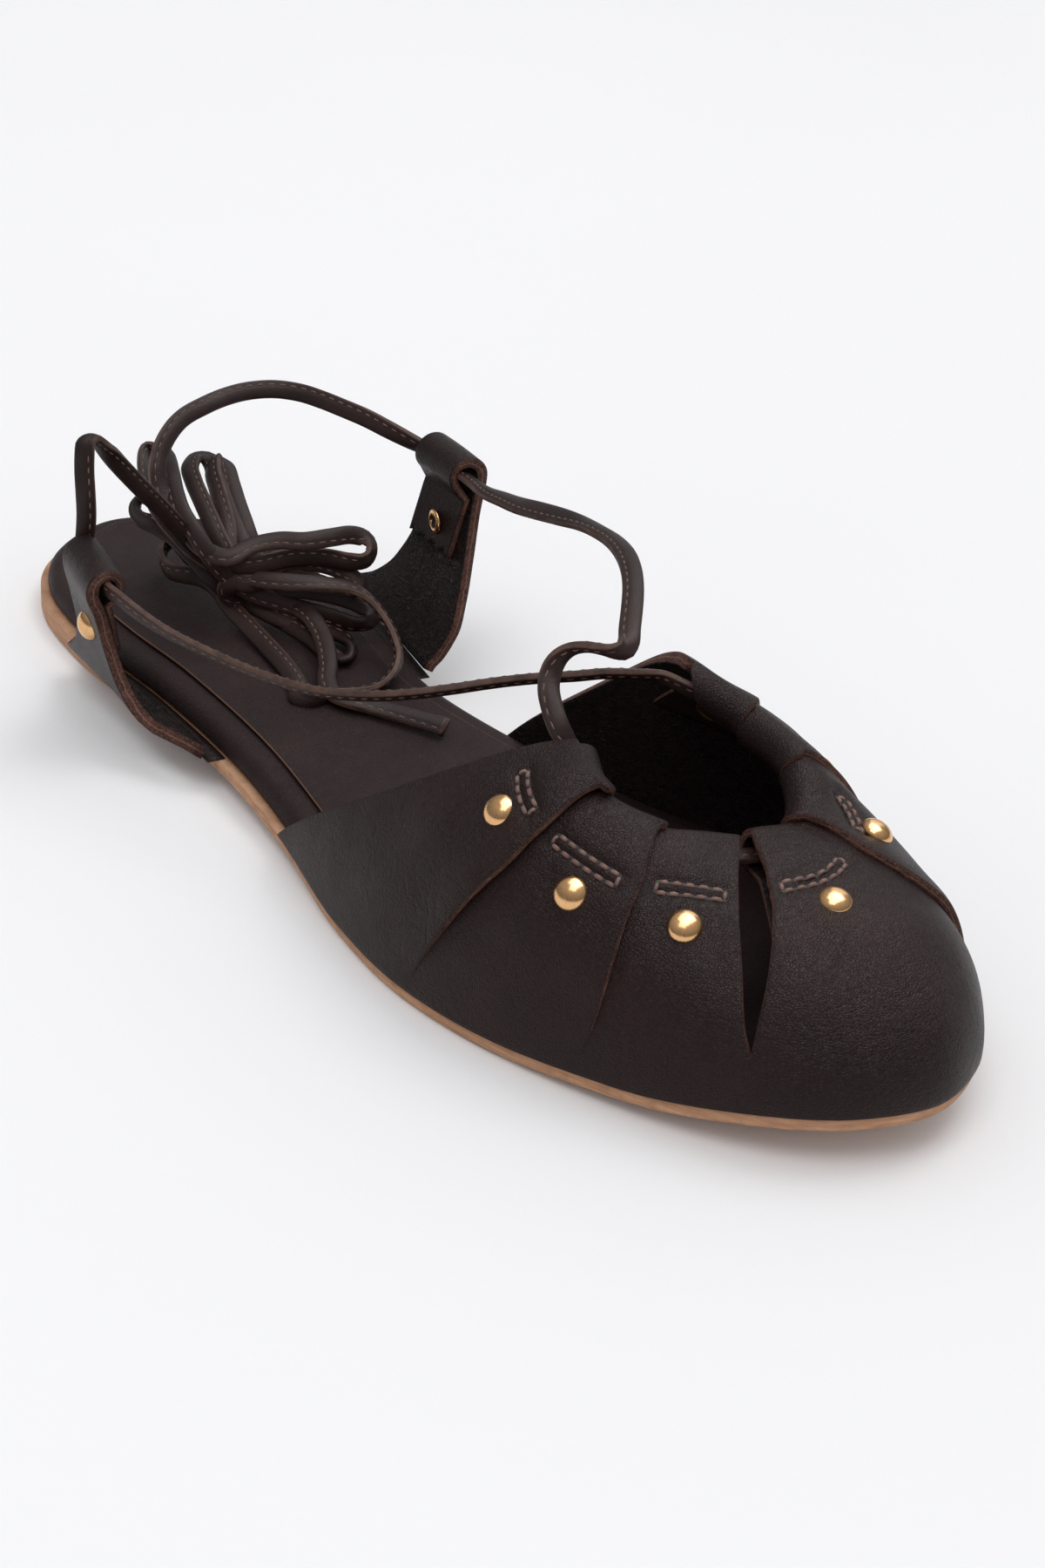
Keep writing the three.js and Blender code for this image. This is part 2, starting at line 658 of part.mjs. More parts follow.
// Points between two ends with a table's offsets from the straight line
function between(start, end, rows) {
  return rows.map(({ way, inward, up }) => start.clone().lerp(end, way)
    .add(new THREE.Vector3(0, inward * throatWidth, up * throatHeight)));
}

// Route of the held lace: inner loop, over the instep, round the channel, over the instep, outer loop
function laceRoute() {
  const medialLoop = loopCurve(medialWing, laceStub);
  const lateralLoop = loopCurve(lateralWing, laceStub);
  const channel = rimCurve(laceStub).points;
  return [
    medialLoop.v1,
    medialLoop.v1.clone().lerp(medialLoop.v2, 0.5),
    medialLoop.v2,
    ...between(channel[0], medialLoop.v2, toMedialLoop).reverse(),
    ...channel,
    ...between(channel[channel.length - 1], lateralLoop.v2, toLateralLoop),
    lateralLoop.v2,
    lateralLoop.v2.clone().lerp(lateralLoop.v1, 0.5),
    lateralLoop.v1,
  ];
}

function makeLace() {
  const curve = new THREE.CatmullRomCurve3(laceRoute(), false, 'centripetal');
  curve.arcLengthDivisions = 800;
  const up = new THREE.Vector3(0.35, 0, 0.94);
  return band(curve, laceWidth, laceThickness, laceSides, laceSteps, () => up);
}

function makeTail(points, steps) {
  const curve = new THREE.CatmullRomCurve3(points.map((point) => new THREE.Vector3(...point)), false, 'centripetal');
  return rod(curve, laceThickness / 2, laceSides, steps);
}

// Outer shape of the tied bundle: a flat capsule that lies on the sock
function makeHank() {
  const along = hankFront.clone().sub(hankRear);
  const turn = along.angle();
  const radius = hankWidth / 2;
  const shape = new THREE.Shape();
  shape.absarc(0, 0, radius - 3, Math.PI / 2, 1.5 * Math.PI, false);
  shape.absarc(along.length(), 0, radius - 3, -Math.PI / 2, Math.PI / 2, false);
  const bevelThickness = 3;
  const bottom = Math.max(...[hankRear.x, (hankRear.x + hankFront.x) / 2, hankFront.x + radius]
    .map((x) => footbedTop(x))) + 2 * seam + sockPly;
  const geometry = new THREE.ExtrudeGeometry(shape, {
    depth: hankTop - bottom - 2 * bevelThickness,
    bevelThickness,
    bevelSize: 3,
    bevelSegments: 2,
    curveSegments: 8,
  });
  geometry.rotateZ(turn);
  return geometry.translate(hankRear.x, hankRear.y, bottom + bevelThickness);
}

// The scene graph
const group = new THREE.Group();
const shoe = new THREE.Group();
group.add(shoe);

function addPiece(name, geometry, finish) {
  const mesh = new THREE.Mesh(geometry, new THREE.MeshStandardMaterial(finish));
  mesh.name = name;
  shoe.add(mesh);
  return mesh;
}

addPiece('outsole', makeOutsole(), tanSole);
addPiece('footbed', makeFootbed(), darkLeather);
addPiece('sock', makeSock(), lining);
addPiece('upper', makeUpper(), darkLeather);
addPiece('wing_lateral', makeWing(lateralWing), darkLeather);
addPiece('wing_medial', makeWing(medialWing), darkLeather);
tabRivets.forEach(({ point, normal, grip }, i) => {
  standOn(addPiece(`rivet_${i + 1}`, makeRivet(grip), paleGold), point, normal);
});
[['lateral', lateralWing], ['medial', medialWing]].forEach(([name, wing]) => {
  const { point, normal, grip } = wingRivetSeat(wing);
  standOn(addPiece(`rivet_${name}`, makeRivet(grip), paleGold), point, normal);
});
addPiece('lace', makeLace(), laceLeather);

// The origin is under the middle of the shoe without its free lace
const box = new THREE.Box3().setFromObject(shoe);
const centre = box.getCenter(new THREE.Vector3());
shoe.position.set(-centre.x, -centre.y, -box.min.z);

addPiece('lace_tail_lateral', makeTail(lateralTail, 20), laceLeather);
addPiece('lace_tail_medial', makeTail(medialTail, 20), laceLeather);
addPiece('lace_end', makeTail(freeEnd, 10), laceLeather);
addPiece('lace_hank', makeHank(), laceLeather);

export default group;
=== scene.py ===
# %% [markdown]
# # A flat lace-up sandal in dark leather
#
# The sandal has a thin tan sole, a leather-wrapped footbed, an upper cut into seven tabs and two side
# wings. One long flat lace runs through the folded tabs and the wings, and its spare length lies tied on
# the insole. Every piece is a surface worked out from a few named sizes, so that its shape can be read
# from the numbers.

import bpy
import bmesh
import numpy as np
from mathutils import Matrix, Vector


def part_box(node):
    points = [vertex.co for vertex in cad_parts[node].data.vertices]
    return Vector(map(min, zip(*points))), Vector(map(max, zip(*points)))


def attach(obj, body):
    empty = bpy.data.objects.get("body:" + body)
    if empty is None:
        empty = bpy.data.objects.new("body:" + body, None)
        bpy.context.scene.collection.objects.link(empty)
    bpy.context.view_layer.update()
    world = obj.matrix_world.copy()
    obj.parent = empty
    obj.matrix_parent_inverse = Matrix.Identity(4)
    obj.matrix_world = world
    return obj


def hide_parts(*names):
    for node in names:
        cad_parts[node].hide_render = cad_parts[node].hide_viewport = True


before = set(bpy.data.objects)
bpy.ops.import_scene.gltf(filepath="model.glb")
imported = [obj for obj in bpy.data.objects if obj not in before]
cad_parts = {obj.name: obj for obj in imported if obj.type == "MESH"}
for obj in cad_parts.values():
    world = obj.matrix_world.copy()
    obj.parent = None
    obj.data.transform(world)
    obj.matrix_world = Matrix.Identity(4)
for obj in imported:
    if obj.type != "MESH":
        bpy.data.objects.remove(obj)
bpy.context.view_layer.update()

# %% [markdown]
# ## Sizes
#
# A shoemaker starts from a last: its length, its ball width and its heights. The same few sizes set the
# sole, the upper and the wings here. They are in millimetres, with the heel's back at x = 0, the floor at
# z = 0, the toe along +X and the inner side of the foot along +Y.

# %% Named sizes
sole_length, sole_width = 245.0, 80.0
arch_lift, toe_spring, outsole_ply, heel_lift = 3.0, 7.0, 2.6, 2.4
footbed_ply, footbed_margin, sock_ply, sock_inset, seam = 3.7, 1.5, 0.6, 7.0, 0.3
throat_height, throat_width, upper_wall, upper_overhang = 41.0, 43.0, 1.6, 0.6
lateral_wing_height, medial_wing_height, wing_flare, wing_wall = 34.6, 42.2, 17.0, 2.4
lace_width, lace_thickness, lace_clearance = 3.6, 1.8, 0.4
channel_radius = lace_width / 2 + lace_clearance
fold_radius = channel_radius + 1.5
loop_radius = channel_radius + 1.7
print("sole", sole_length, "by", sole_width, "mm, lace channel", 2 * channel_radius, "mm across")

# %% [markdown]
# ## Tables of the form
#
# A shoe's curves have no formula: its maker draws them on a last. A few measured rows do the same here.
# The outline and the side profile are shares of the length and the width at places along the sole. The
# vamp has one column for each of its numbered edges, from the outer end round the toe to the inner end.

# %% Tables of the outline, the side profile and the vamp
outline_along = [0.03, 0.08, 0.16, 0.28, 0.40, 0.50, 0.60, 0.68, 0.76, 0.84, 0.91, 0.96, 0.985]
outline_lateral = [0.204, 0.308, 0.355, 0.358, 0.379, 0.419, 0.480, 0.501, 0.465, 0.386, 0.290, 0.184, 0.085]
outline_medial = [0.216, 0.316, 0.352, 0.300, 0.229, 0.281, 0.379, 0.469, 0.521, 0.496, 0.410, 0.306, 0.215]
heel_back, toe_tip = 0.006, 0.075
profile_along = [0.00, 0.21, 0.30, 0.41, 0.52, 0.61, 0.73, 0.86, 1.00]
profile_arch = [0, 0, 0.6, 1, 0.5, 0, 0, 0, 0]
profile_spring = [0, 0, 0, 0, 0, 0, 0, 0.28, 1]
profile_heel = [1, 1, 0.55, 0.1, 0, 0, 0, 0, 0]
vamp_side = [-1, -1, -1, -1, 1, 1, 1, 1]
vamp_base = [0.497, 0.694, 0.833, 0.932, 0.925, 0.800, 0.660, 0.470]
vamp_rim_x = [0.717, 0.751, 0.792, 0.814, 0.816, 0.776, 0.717, 0.669]
vamp_rim_y = [-0.31, -0.39, -0.26, 0.06, 0.35, 0.53, 0.57, 0.447]
vamp_rim_z = [1.00, 0.93, 0.82, 0.745, 0.748, 0.858, 0.90, 0.97]
vamp_full = [1.15, 1.06, 1.00, 0.96, 0.94, 1.35, 1.12, 1.15]
vamp_lean = [0.14, 0.03, 0, 0, 0, 0, -0.02, -0.10]
print(len(outline_along), "rows of outline,", len(profile_along), "of side profile,", len(vamp_side), "vamp edges")

# %% [markdown]
# ## Reading a table smoothly
#
# The tables hold only a few rows. A cubic between two rows, with slopes taken from the neighbours, gives
# every value in between. One version never overshoots its rows, which suits heights, and the other flows
# in round passages, which suits a rim.


# %% Cubic curves through tables
def cubic(a, slope_a, b, slope_b, t):
    """From a to b as t runs from 0 to 1: the cubic with the two end slopes."""
    near = a * (1 + 2 * t) * (1 - t) ** 2 + slope_a * t * (1 - t) ** 2
    return near + b * t * t * (3 - 2 * t) + slope_b * t * t * (t - 1)


def steady(places, values, x):
    """Value at x: a cubic in each gap, its slopes the harmonic mean of the neighbouring rises, 0 at a turn."""
    places, values, x = (np.asarray(v, float) for v in (places, values, x))
    rise = np.diff(values) / np.diff(places)
    slope = np.zeros(len(values))
    product, total = rise[:-1] * rise[1:], rise[:-1] + rise[1:]
    slope[1:-1] = np.where(product > 0, 2 * product / np.where(total == 0, 1, total), 0)
    i = np.clip(np.searchsorted(places, x, side="right") - 1, 0, len(places) - 2)
    span = places[i + 1] - places[i]
    t = np.clip((x - places[i]) / span, 0, 1)
    return cubic(values[i], slope[i] * span, values[i + 1], slope[i + 1] * span, t)


def flowing(values, s):
    """Value at a place s along evenly numbered rows: a cubic with the slope between both neighbours."""
    v, s = np.asarray(values, float), np.asarray(s, float)
    i = np.clip(np.floor(s).astype(int), 0, len(v) - 2)
    slope = np.gradient(v, axis=0)
    t = s - i
    if v.ndim > 1:
        t = t[..., None]
    return cubic(v[i], slope[i], v[i + 1], slope[i + 1], t)


def smooth(low, high, x):
    """0 below low, 1 above high, and 3t^2 - 2t^3 between them."""
    t = np.clip((np.asarray(x, float) - low) / (high - low), 0, 1)
    return t * t * (3 - 2 * t)


# %% [markdown]
# ## The sole's outline and heights
#
# Everything on the shoe stands on the sole, so its outline comes first. It could be drawn as a Bezier
# curve by hand. A closed ring through the table's rows is used instead, because the same ring then serves
# the footbed, the vamp's foot and the wings, each moved in or out along the ring's normal.


# %% The sole's outline
def rounded_ring(corners, steps):
    """Closed curve through corners: cubics whose speed follows the square root of the corner distances."""
    p1 = np.asarray(corners, float)
    p0, p2, p3 = np.roll(p1, 1, 0), np.roll(p1, -1, 0), np.roll(p1, -2, 0)
    d0, d1, d2 = (np.sqrt(np.linalg.norm(b - a, axis=1))[:, None] for a, b in ((p0, p1), (p1, p2), (p2, p3)))
    start = ((p1 - p0) / d0 - (p2 - p0) / (d0 + d1) + (p2 - p1) / d1) * d1
    end = ((p2 - p1) / d1 - (p3 - p1) / (d1 + d2) + (p3 - p2) / d2) * d1
    t = np.linspace(0, 1, steps, endpoint=False)[None, :, None]
    return cubic(p1[:, None], start[:, None], p2[:, None], end[:, None], t).reshape(-1, 2)


lateral_side = np.c_[np.array(outline_along) * sole_length, -np.array(outline_lateral) * sole_width]
medial_side = np.c_[np.array(outline_along) * sole_length, np.array(outline_medial) * sole_width]
heel, toe = (0, heel_back * sole_width), (sole_length, toe_tip * sole_width)
ring = rounded_ring([heel, *lateral_side, toe, *medial_side[::-1]], 40)
ring = np.vstack([ring, ring[:1]])
ring_length = np.r_[0, np.cumsum(np.linalg.norm(np.diff(ring, axis=0), axis=1))]
outline_length = ring_length[-1]
toe_share = ring_length[np.argmax(ring[:, 0])] / outline_length


def ring_point(way):
    """Point of the ring at a way along it in millimetres, starting again after each round."""
    return np.stack([np.interp(way % outline_length, ring_length, ring[:, k]) for k in (0, 1)], -1)


def outline(share, out=0.0):
    """Point at a share of the way round, from the heel along the outer side, moved out along the normal."""
    way = np.asarray(share, float) % 1 * outline_length
    along = ring_point(way + 0.5) - ring_point(way - 0.5)
    along /= np.linalg.norm(along, axis=-1, keepdims=True)
    normal = np.stack([along[..., 1], -along[..., 0]], -1)
    return ring_point(way) + normal * np.asarray(out, float)[..., None]


def outline_share(side, x):
    """Share of the way round where the outline passes x, on the outer side (-1) or the inner side (1)."""
    shares = ring_length / outline_length
    half = shares <= toe_share if side < 0 else shares >= toe_share
    order = np.argsort(ring[half, 0])
    return np.interp(x, ring[half, 0][order], shares[half][order])


def side_height(values, x):
    """A column of the side profile at x: its share between 0 and 1."""
    return steady(profile_along, values, np.asarray(x, float) / sole_length)


def ground(x):
    """Underside of the sole: the arch and the toe spring as shares of their heights."""
    return arch_lift * side_height(profile_arch, x) + toe_spring * side_height(profile_spring, x)


def outsole_top(x):
    """Underside plus the sole's leather plus the heel's share of its lift."""
    return ground(x) + outsole_ply + heel_lift * side_height(profile_heel, x)


def footbed_top(x):
    return outsole_top(x) + seam + footbed_ply


home = np.array(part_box("outsole")[0]) * 1000 - np.array([ring[:, 0].min(), ring[:, 1].min(), 0])
print("outline", round(outline_length, 1), "mm round, placed by", np.round(home, 2))

# %% [markdown]
# ## The camera
#
# The picture looks down on the shoe from its outer front quarter with a long lens. The camera is placed
# from the point that it looks at, two angles, a small roll and a distance, because these four can be read
# from the shoe's outline more surely than three free coordinates.


# %% Camera at the picture's angle
def place_camera(target, azimuth, elevation, roll, distance, lens):
    """The camera backs away from target: sideways by azimuth, up by elevation, then turns about its axis."""
    a, e, r = np.radians([azimuth, elevation, roll])
    back = np.array([np.sin(a) * np.cos(e), -np.cos(a) * np.cos(e), np.sin(e)])
    right = np.array([np.cos(a), np.sin(a), 0])
    up = np.cross(back, right)
    turned_right = right * np.cos(r) + up * np.sin(r)
    turned_up = -right * np.sin(r) + up * np.cos(r)
    camera = bpy.data.objects.new("camera", bpy.data.cameras.new("camera"))
    bpy.context.scene.collection.objects.link(camera)
    matrix = np.eye(4)
    matrix[:3, 0], matrix[:3, 1], matrix[:3, 2] = turned_right, turned_up, back
    matrix[:3, 3] = (np.array(target) + home + back * distance) / 1000
    camera.matrix_world = Matrix(matrix.tolist())
    camera.data.lens = lens
    camera.data.sensor_width = 36
    camera.data.clip_start = 0.01
    bpy.context.scene.camera = camera
    return back


toward_camera = place_camera(
    target=(122.93, 19.24, 0), azimuth=50.83, elevation=30.16, roll=4.53, distance=517.34, lens=64
)
print("camera looks from", np.round(toward_camera, 3))

# %% [markdown]
# ## From arrays to meshes
#
# Each piece is a grid of points worked out at once. One helper turns such a grid into a mesh and gives it
# marks, such as where the leather is cut, which the materials read as attributes. Another joins the
# points that coincide, so that every piece is closed and faces outwards.


# %% Mesh helpers
def grid_faces(rows, cols, close_rows=False, close_cols=False, first=0):
    """Quads between neighbours of a rows by cols grid of points that is numbered row by row."""
    r, c = np.arange(rows if close_rows else rows - 1), np.arange(cols if close_cols else cols - 1)
    r, c = (v.ravel() for v in np.meshgrid(r, c, indexing="ij"))
    r1, c1 = (r + 1) % rows, (c + 1) % cols
    return first + np.stack([r * cols + c, r * cols + c1, r1 * cols + c1, r1 * cols + c], -1)


def make_piece(name, points, faces, marks=None):
    """Mesh object at the origin from points in millimetres; faces are arrays of quads or lists of corners."""
    mesh = bpy.data.meshes.new(name)
    polygons = [list(map(int, face)) for group in faces for face in group]
    mesh.from_pydata(((np.asarray(points).reshape(-1, 3) + home) / 1000).tolist(), [], polygons)
    mesh.polygons.foreach_set("use_smooth", np.ones(len(mesh.polygons), bool))
    for mark, values in (marks or {}).items():
        attribute = mesh.attributes.new(mark, "FLOAT", "POINT")
        attribute.data.foreach_set("value", np.asarray(values, float).ravel())
    mesh.validate()
    mesh.update()
    piece = bpy.data.objects.new(name, mesh)
    bpy.context.scene.collection.objects.link(piece)
    return piece


def tidy_shell(piece, merge=1e-6):
    """Joins points that coincide, drops loose ones and turns every face outwards."""
    bm = bmesh.new()
    bm.from_mesh(piece.data)
    bmesh.ops.remove_doubles(bm, verts=bm.verts, dist=merge)
    bmesh.ops.delete(bm, geom=[v for v in bm.verts if not v.link_faces], context="VERTS")
    bmesh.ops.recalc_face_normals(bm, faces=bm.faces)
    bm.to_mesh(piece.data)
    bm.free()
    piece.data.update()
    return piece


def unit(v):
    return v / np.maximum(np.linalg.norm(v, axis=-1, keepdims=True), 1e-12)


def grid_normals(points):
    """Normals of a grid of points: the cross product of its two central differences."""
    return unit(np.cross(np.gradient(points, axis=1), np.gradient(points, axis=0)))


def stitches(starts, ends, normals, radius, dive=0.35, sides=6):
    """One small tube a stitch: five rings from start to end, highest in the middle and sunk at both ends."""
    starts, ends, normals = (np.asarray(v, float) for v in (starts, ends, normals))
    t = np.array([0, 0.16, 0.5, 0.84, 1])
    centre = starts[:, None] + (ends - starts)[:, None] * t[None, :, None]
    centre = centre + normals[:, None] * ((0.45 * radius + dive) * np.sin(np.pi * t) ** 0.4 - dive)[None, :, None]
    along = unit(ends - starts)
    across = unit(np.cross(normals, along))
    angle = np.linspace(0, 2 * np.pi, sides, endpoint=False)
    width = radius * np.array([0.75, 1, 1.05, 1, 0.75])
    circle = across[:, None, None] * np.cos(angle)[:, None] + normals[:, None, None] * np.sin(angle)[:, None]
    points = centre[:, :, None] + circle * width[None, :, None, None]
    one = grid_faces(5, sides, close_cols=True)
    faces = (np.arange(len(starts)) * 5 * sides)[:, None, None] + one[None]
    return points.reshape(-1, 3), faces.reshape(-1, 4)


# %% [markdown]
# ## The lace and its spare length
#
# The lace is a leather strip folded in half and sewn along its open edge, 3.6 mm wide and 1.8 mm thick. Its
# route is drawn as a smooth line through points, and a small section with a round fold on one side and
# two flat cut edges on the other is carried along it. The section turns on the way, so each point also
# says how far its broad side is turned from the one that looks at the camera.


# %% Carrying a section along a route
def smooth_route(points, spacing):
    """Even points along a curve through the given ones; the curve's speed follows the square root of the gaps."""
    p = np.asarray(points, float)
    gaps = np.sqrt(np.linalg.norm(np.diff(p[:, :3], axis=0), axis=1))
    knots = np.r_[0, np.cumsum(gaps)]
    slope = np.empty_like(p)
    d = np.diff(knots)[:, None]
    step = np.diff(p, axis=0) / d
    slope[1:-1] = (step[:-1] * d[1:] + step[1:] * d[:-1]) / (d[:-1] + d[1:])
    slope[0], slope[-1] = step[0], step[-1]
    fine = np.linspace(0, knots[-1], 40 * len(p))
    i = np.clip(np.searchsorted(knots, fine, side="right") - 1, 0, len(p) - 2)
    t = ((fine - knots[i]) / np.diff(knots)[i])[:, None]
    curve = cubic(p[i], slope[i] * d[i], p[i + 1], slope[i + 1] * d[i], t)
    way = np.r_[0, np.cumsum(np.linalg.norm(np.diff(curve[:, :3], axis=0), axis=1))]
    even = np.linspace(0, way[-1], max(8, int(way[-1] / spacing)))
    return np.stack([np.interp(even, way, curve[:, k]) for k in range(p.shape[1])], -1), way[-1]


lace_corner = np.linspace(0, 2 * np.pi, 28, endpoint=False)
lace_pitch, lace_stitch, lace_thread = 2.2, 1.55, 0.15


def lace_section():
    """A flat oval: width cos, thickness sin to the power 0.75, squared off on the sewn side and dented at the seam."""
    x = np.cos(lace_corner)
    z = np.sign(np.sin(lace_corner)) * np.abs(np.sin(lace_corner)) ** 0.75
    x = np.where(x > 0, np.minimum(x * 1.12, 0.97 + 0.03 * x), x)
    z = z * (1 - 0.2 * np.exp(-(((x - 0.5) / 0.16) ** 2)) - 0.1 * smooth(0.6, 0.95, x))
    return x * lace_width / 2, z * lace_thickness / 2


def even_out(width):
    """Takes sudden turns out of the broad side: averaged with both neighbours six times, but not at the ends."""
    row = np.arange(len(width))
    inner = smooth(0, 2, np.minimum(row, row[::-1]))[:, None]
    for _ in range(6):
        width = unit(width + 0.5 * (np.roll(width, 1, 0) + np.roll(width, -1, 0)) * inner)
    return width


def lace_frame(route, spacing):
    """Centre line, broad and thin directions: broad side to the camera, turned by the fourth column."""
    path, length = smooth_route(route, spacing)
    centre, angle = path[:, :3], np.radians(path[:, 3])
    along = unit(np.gradient(centre, axis=0))
    face = unit(toward_camera - (along @ toward_camera)[:, None] * along)
    width = np.cross(along, face) * np.cos(angle)[:, None] + face * np.sin(angle)[:, None]
    width = even_out(width)
    width = unit(width - np.sum(width * along, -1, keepdims=True) * along)
    return centre, width, np.cross(width, along), length


def lace_threads(centre, width, depth, length):
    """Running stitches on both faces, halfway from the middle to the sewn edge."""
    way = np.linspace(0, length, len(centre))
    starts = np.arange(1.5, length - 2.5, lace_pitch)
    threads = []
    for side in (1, -1):
        line = centre + width * (0.5 * lace_width / 2) + depth * (side * 0.37 * lace_thickness)
        tips = [np.stack([np.interp(starts + reach, way, line[:, k]) for k in range(3)], -1)
                for reach in (0, lace_stitch)]
        out = unit(np.stack([np.interp(starts, way, depth[:, k] * side) for k in range(3)], -1))
        threads.append(stitches(*tips, out, lace_thread))
    return threads


def make_lace(name, route, spacing=0.8):
    """Section carried along the route; the sewn edge and both ends are raw, and the stitches are thread."""
    centre, width, depth, length = lace_frame(route, spacing)
    x, z = lace_section()
    points = centre[:, None] + width[:, None] * x[None, :, None] + depth[:, None] * z[None, :, None]
    rows, cols = points.shape[:2]
    body = rows * cols
    raw = np.broadcast_to(smooth(0.88, 0.96, x / (lace_width / 2)), (rows, cols)).copy()
    raw[0], raw[-1] = 1, 1
    ends = [np.arange(cols)[::-1], np.arange(cols) + body - cols]
    everything, faces, first = [points.reshape(-1, 3)], [grid_faces(rows, cols, close_cols=True), ends], body
    for thread_points, thread_faces in lace_threads(centre, width, depth, length):
        faces.append(thread_faces + first)
        everything.append(thread_points)
        first += len(thread_points)
    thread = np.r_[np.zeros(body), np.ones(first - body)]
    raw = np.r_[raw.ravel(), np.zeros(first - body)]
    piece = make_piece(name, np.vstack(everything), faces, {"raw": raw, "thread": thread})
    return tidy_shell(piece), centre, length


# %% [markdown]
# ## Where the lace runs
#
# The lace is one long strip, and every stretch of it has the same section. So the section is set once, and
# the routes of the held stretch and of the two free ends share it.

# %% Routes of the lace
def rim(s):
    """Middle of the lace's channel at a place along the numbered tab edges."""
    columns = (vamp_rim_x, sole_length), (vamp_rim_y, throat_width), (vamp_rim_z, throat_height)
    return np.stack([flowing(shares, s) * size for shares, size in columns], -1)


def with_turns(points, turns):
    """Adds the turn of the broad side, in degrees, as a fourth column."""
    return np.c_[np.asarray(points, float), np.broadcast_to(np.asarray(turns, float), len(points))]


print("lace section", lace_width, "by", lace_thickness, "mm")

# %% [markdown]
# ## Where the lace runs
#
# The lace comes out of each wing's loop at the back. The inner end swings round in an arc and the outer
# end stands up and folds over, and both run into one tied bundle of loops on the insole. Drawing the two
# ends as two open curves keeps their true lengths, and each pass through the knot is simply the next
# point of the same curve.

# %% The two free ends
inner_end = [
    (66.2, 34.2, 42.6, 60), (63.5, 32.5, 43.4, 45), (58.9, 30.5, 44.4, 30), (53.8, 28.8, 45.2, 20),
    (49.0, 26.8, 45.8, 10), (44.1, 24.9, 46.2, 5), (39.5, 22.7, 46.4, 0), (35.6, 19.1, 46.4, -5),
    (33.2, 14.6, 46.0, -5), (32.9, 9.3, 45.6, -5), (33.4, 3.9, 44.8, 0), (34.0, -0.9, 43.6, 10),
    (35.5, -4.7, 41.8, 25), (37.2, -7.6, 39.4, 35), (39.6, -9.8, 36.6, 35), (41.6, -10.3, 33.8, 25),
    (44.7, -10.3, 31.0, 15), (49.5, -9.6, 28.4, 10), (54.9, -8.6, 26.0, 10), (59.5, -6.0, 25.5, 20),
    (59.9, -0.7, 27.0, 30), (62.1, 3.8, 28.0, 25), (65.5, 7.5, 28.4, 15), (66.9, 12.6, 28.6, 5),
    (67.3, 17.4, 28.2, 0), (68.5, 19.9, 27.2, 40), (70.8, 19.6, 26.0, 80), (72.1, 17.5, 24.8, 60),
    (69.9, 15.3, 24.0, 30), (65.5, 12.1, 23.8, 20), (62.5, 6.6, 23.8, 20), (61.2, 0.5, 23.2, 20),
    (59.6, -4.0, 23.6, 20), (55.0, -4.5, 26.0, 10), (50.0, -3.8, 28.4, 0), (43.8, -2.3, 30.2, 0),
    (37.2, -0.3, 31.4, 0), (31.6, 2.3, 31.8, 10), (28.3, 6.1, 31.6, 60), (29.3, 8.1, 31.0, 20),
    (35.6, 5.9, 30.2, -5), (43.0, 3.4, 28.6, -5), (50.2, 1.4, 26.4, 0), (56.4, 0.3, 24.2, 10),
    (60.6, 1.9, 22.6, 20), (61.3, 6.5, 22.4, 10), (63.0, 10.4, 22.2, 5), (65.9, 13.5, 21.8, 0),
    (69.4, 15.3, 21.0, 0), (72.2, 15.9, 20.0, 40), (73.8, 14.5, 18.6, 80), (71.0, 13.3, 18.2, 40),
    (66.8, 11.0, 18.8, 20), (63.1, 7.4, 19.4, 15), (61.3, 2.5, 19.8, 10), (61.6, -2.6, 20.0, 10),
    (58.2, -5.0, 20.6, 10), (55.2, -3.2, 23.0, 0), (51.6, -1.0, 26.2, 0), (46.3, 1.0, 28.6, 10),
    (40.0, 3.4, 30.2, 20), (34.3, 5.9, 31.2, 30), (30.5, 9.4, 31.4, 80), (32.6, 9.9, 30.8, 40),
    (38.4, 7.8, 29.4, 20), (44.5, 5.7, 27.4, 10), (49.8, 4.3, 25.0, 10), (53.4, 3.5, 22.2, 10),
    (59.3, -2.6, 21.8, 0), (59.3, -5.7, 19.4, 0), (58.1, -4.9, 16.4, 0), (58.2, -0.4, 14.6, 20),
    (61.3, 3.7, 14.6, 20), (66.9, 5.0, 15.6, 30), (72.3, 4.9, 15.8, 20), (77.1, 4.0, 15.0, 10),
    (82.4, 1.9, 14.2, 0), (87.2, -0.8, 13.4, 0), (91.4, -3.7, 12.8, 10), (95.4, -4.8, 12.4, 40),
    (98.7, -4.0, 12.3, 60), (102.1, -1.4, 12.3, 45), (106.6, 1.4, 12.2, 30), (111.2, 4.0, 12.1, 25),
    (115.4, 6.3, 12.0, 20),
]
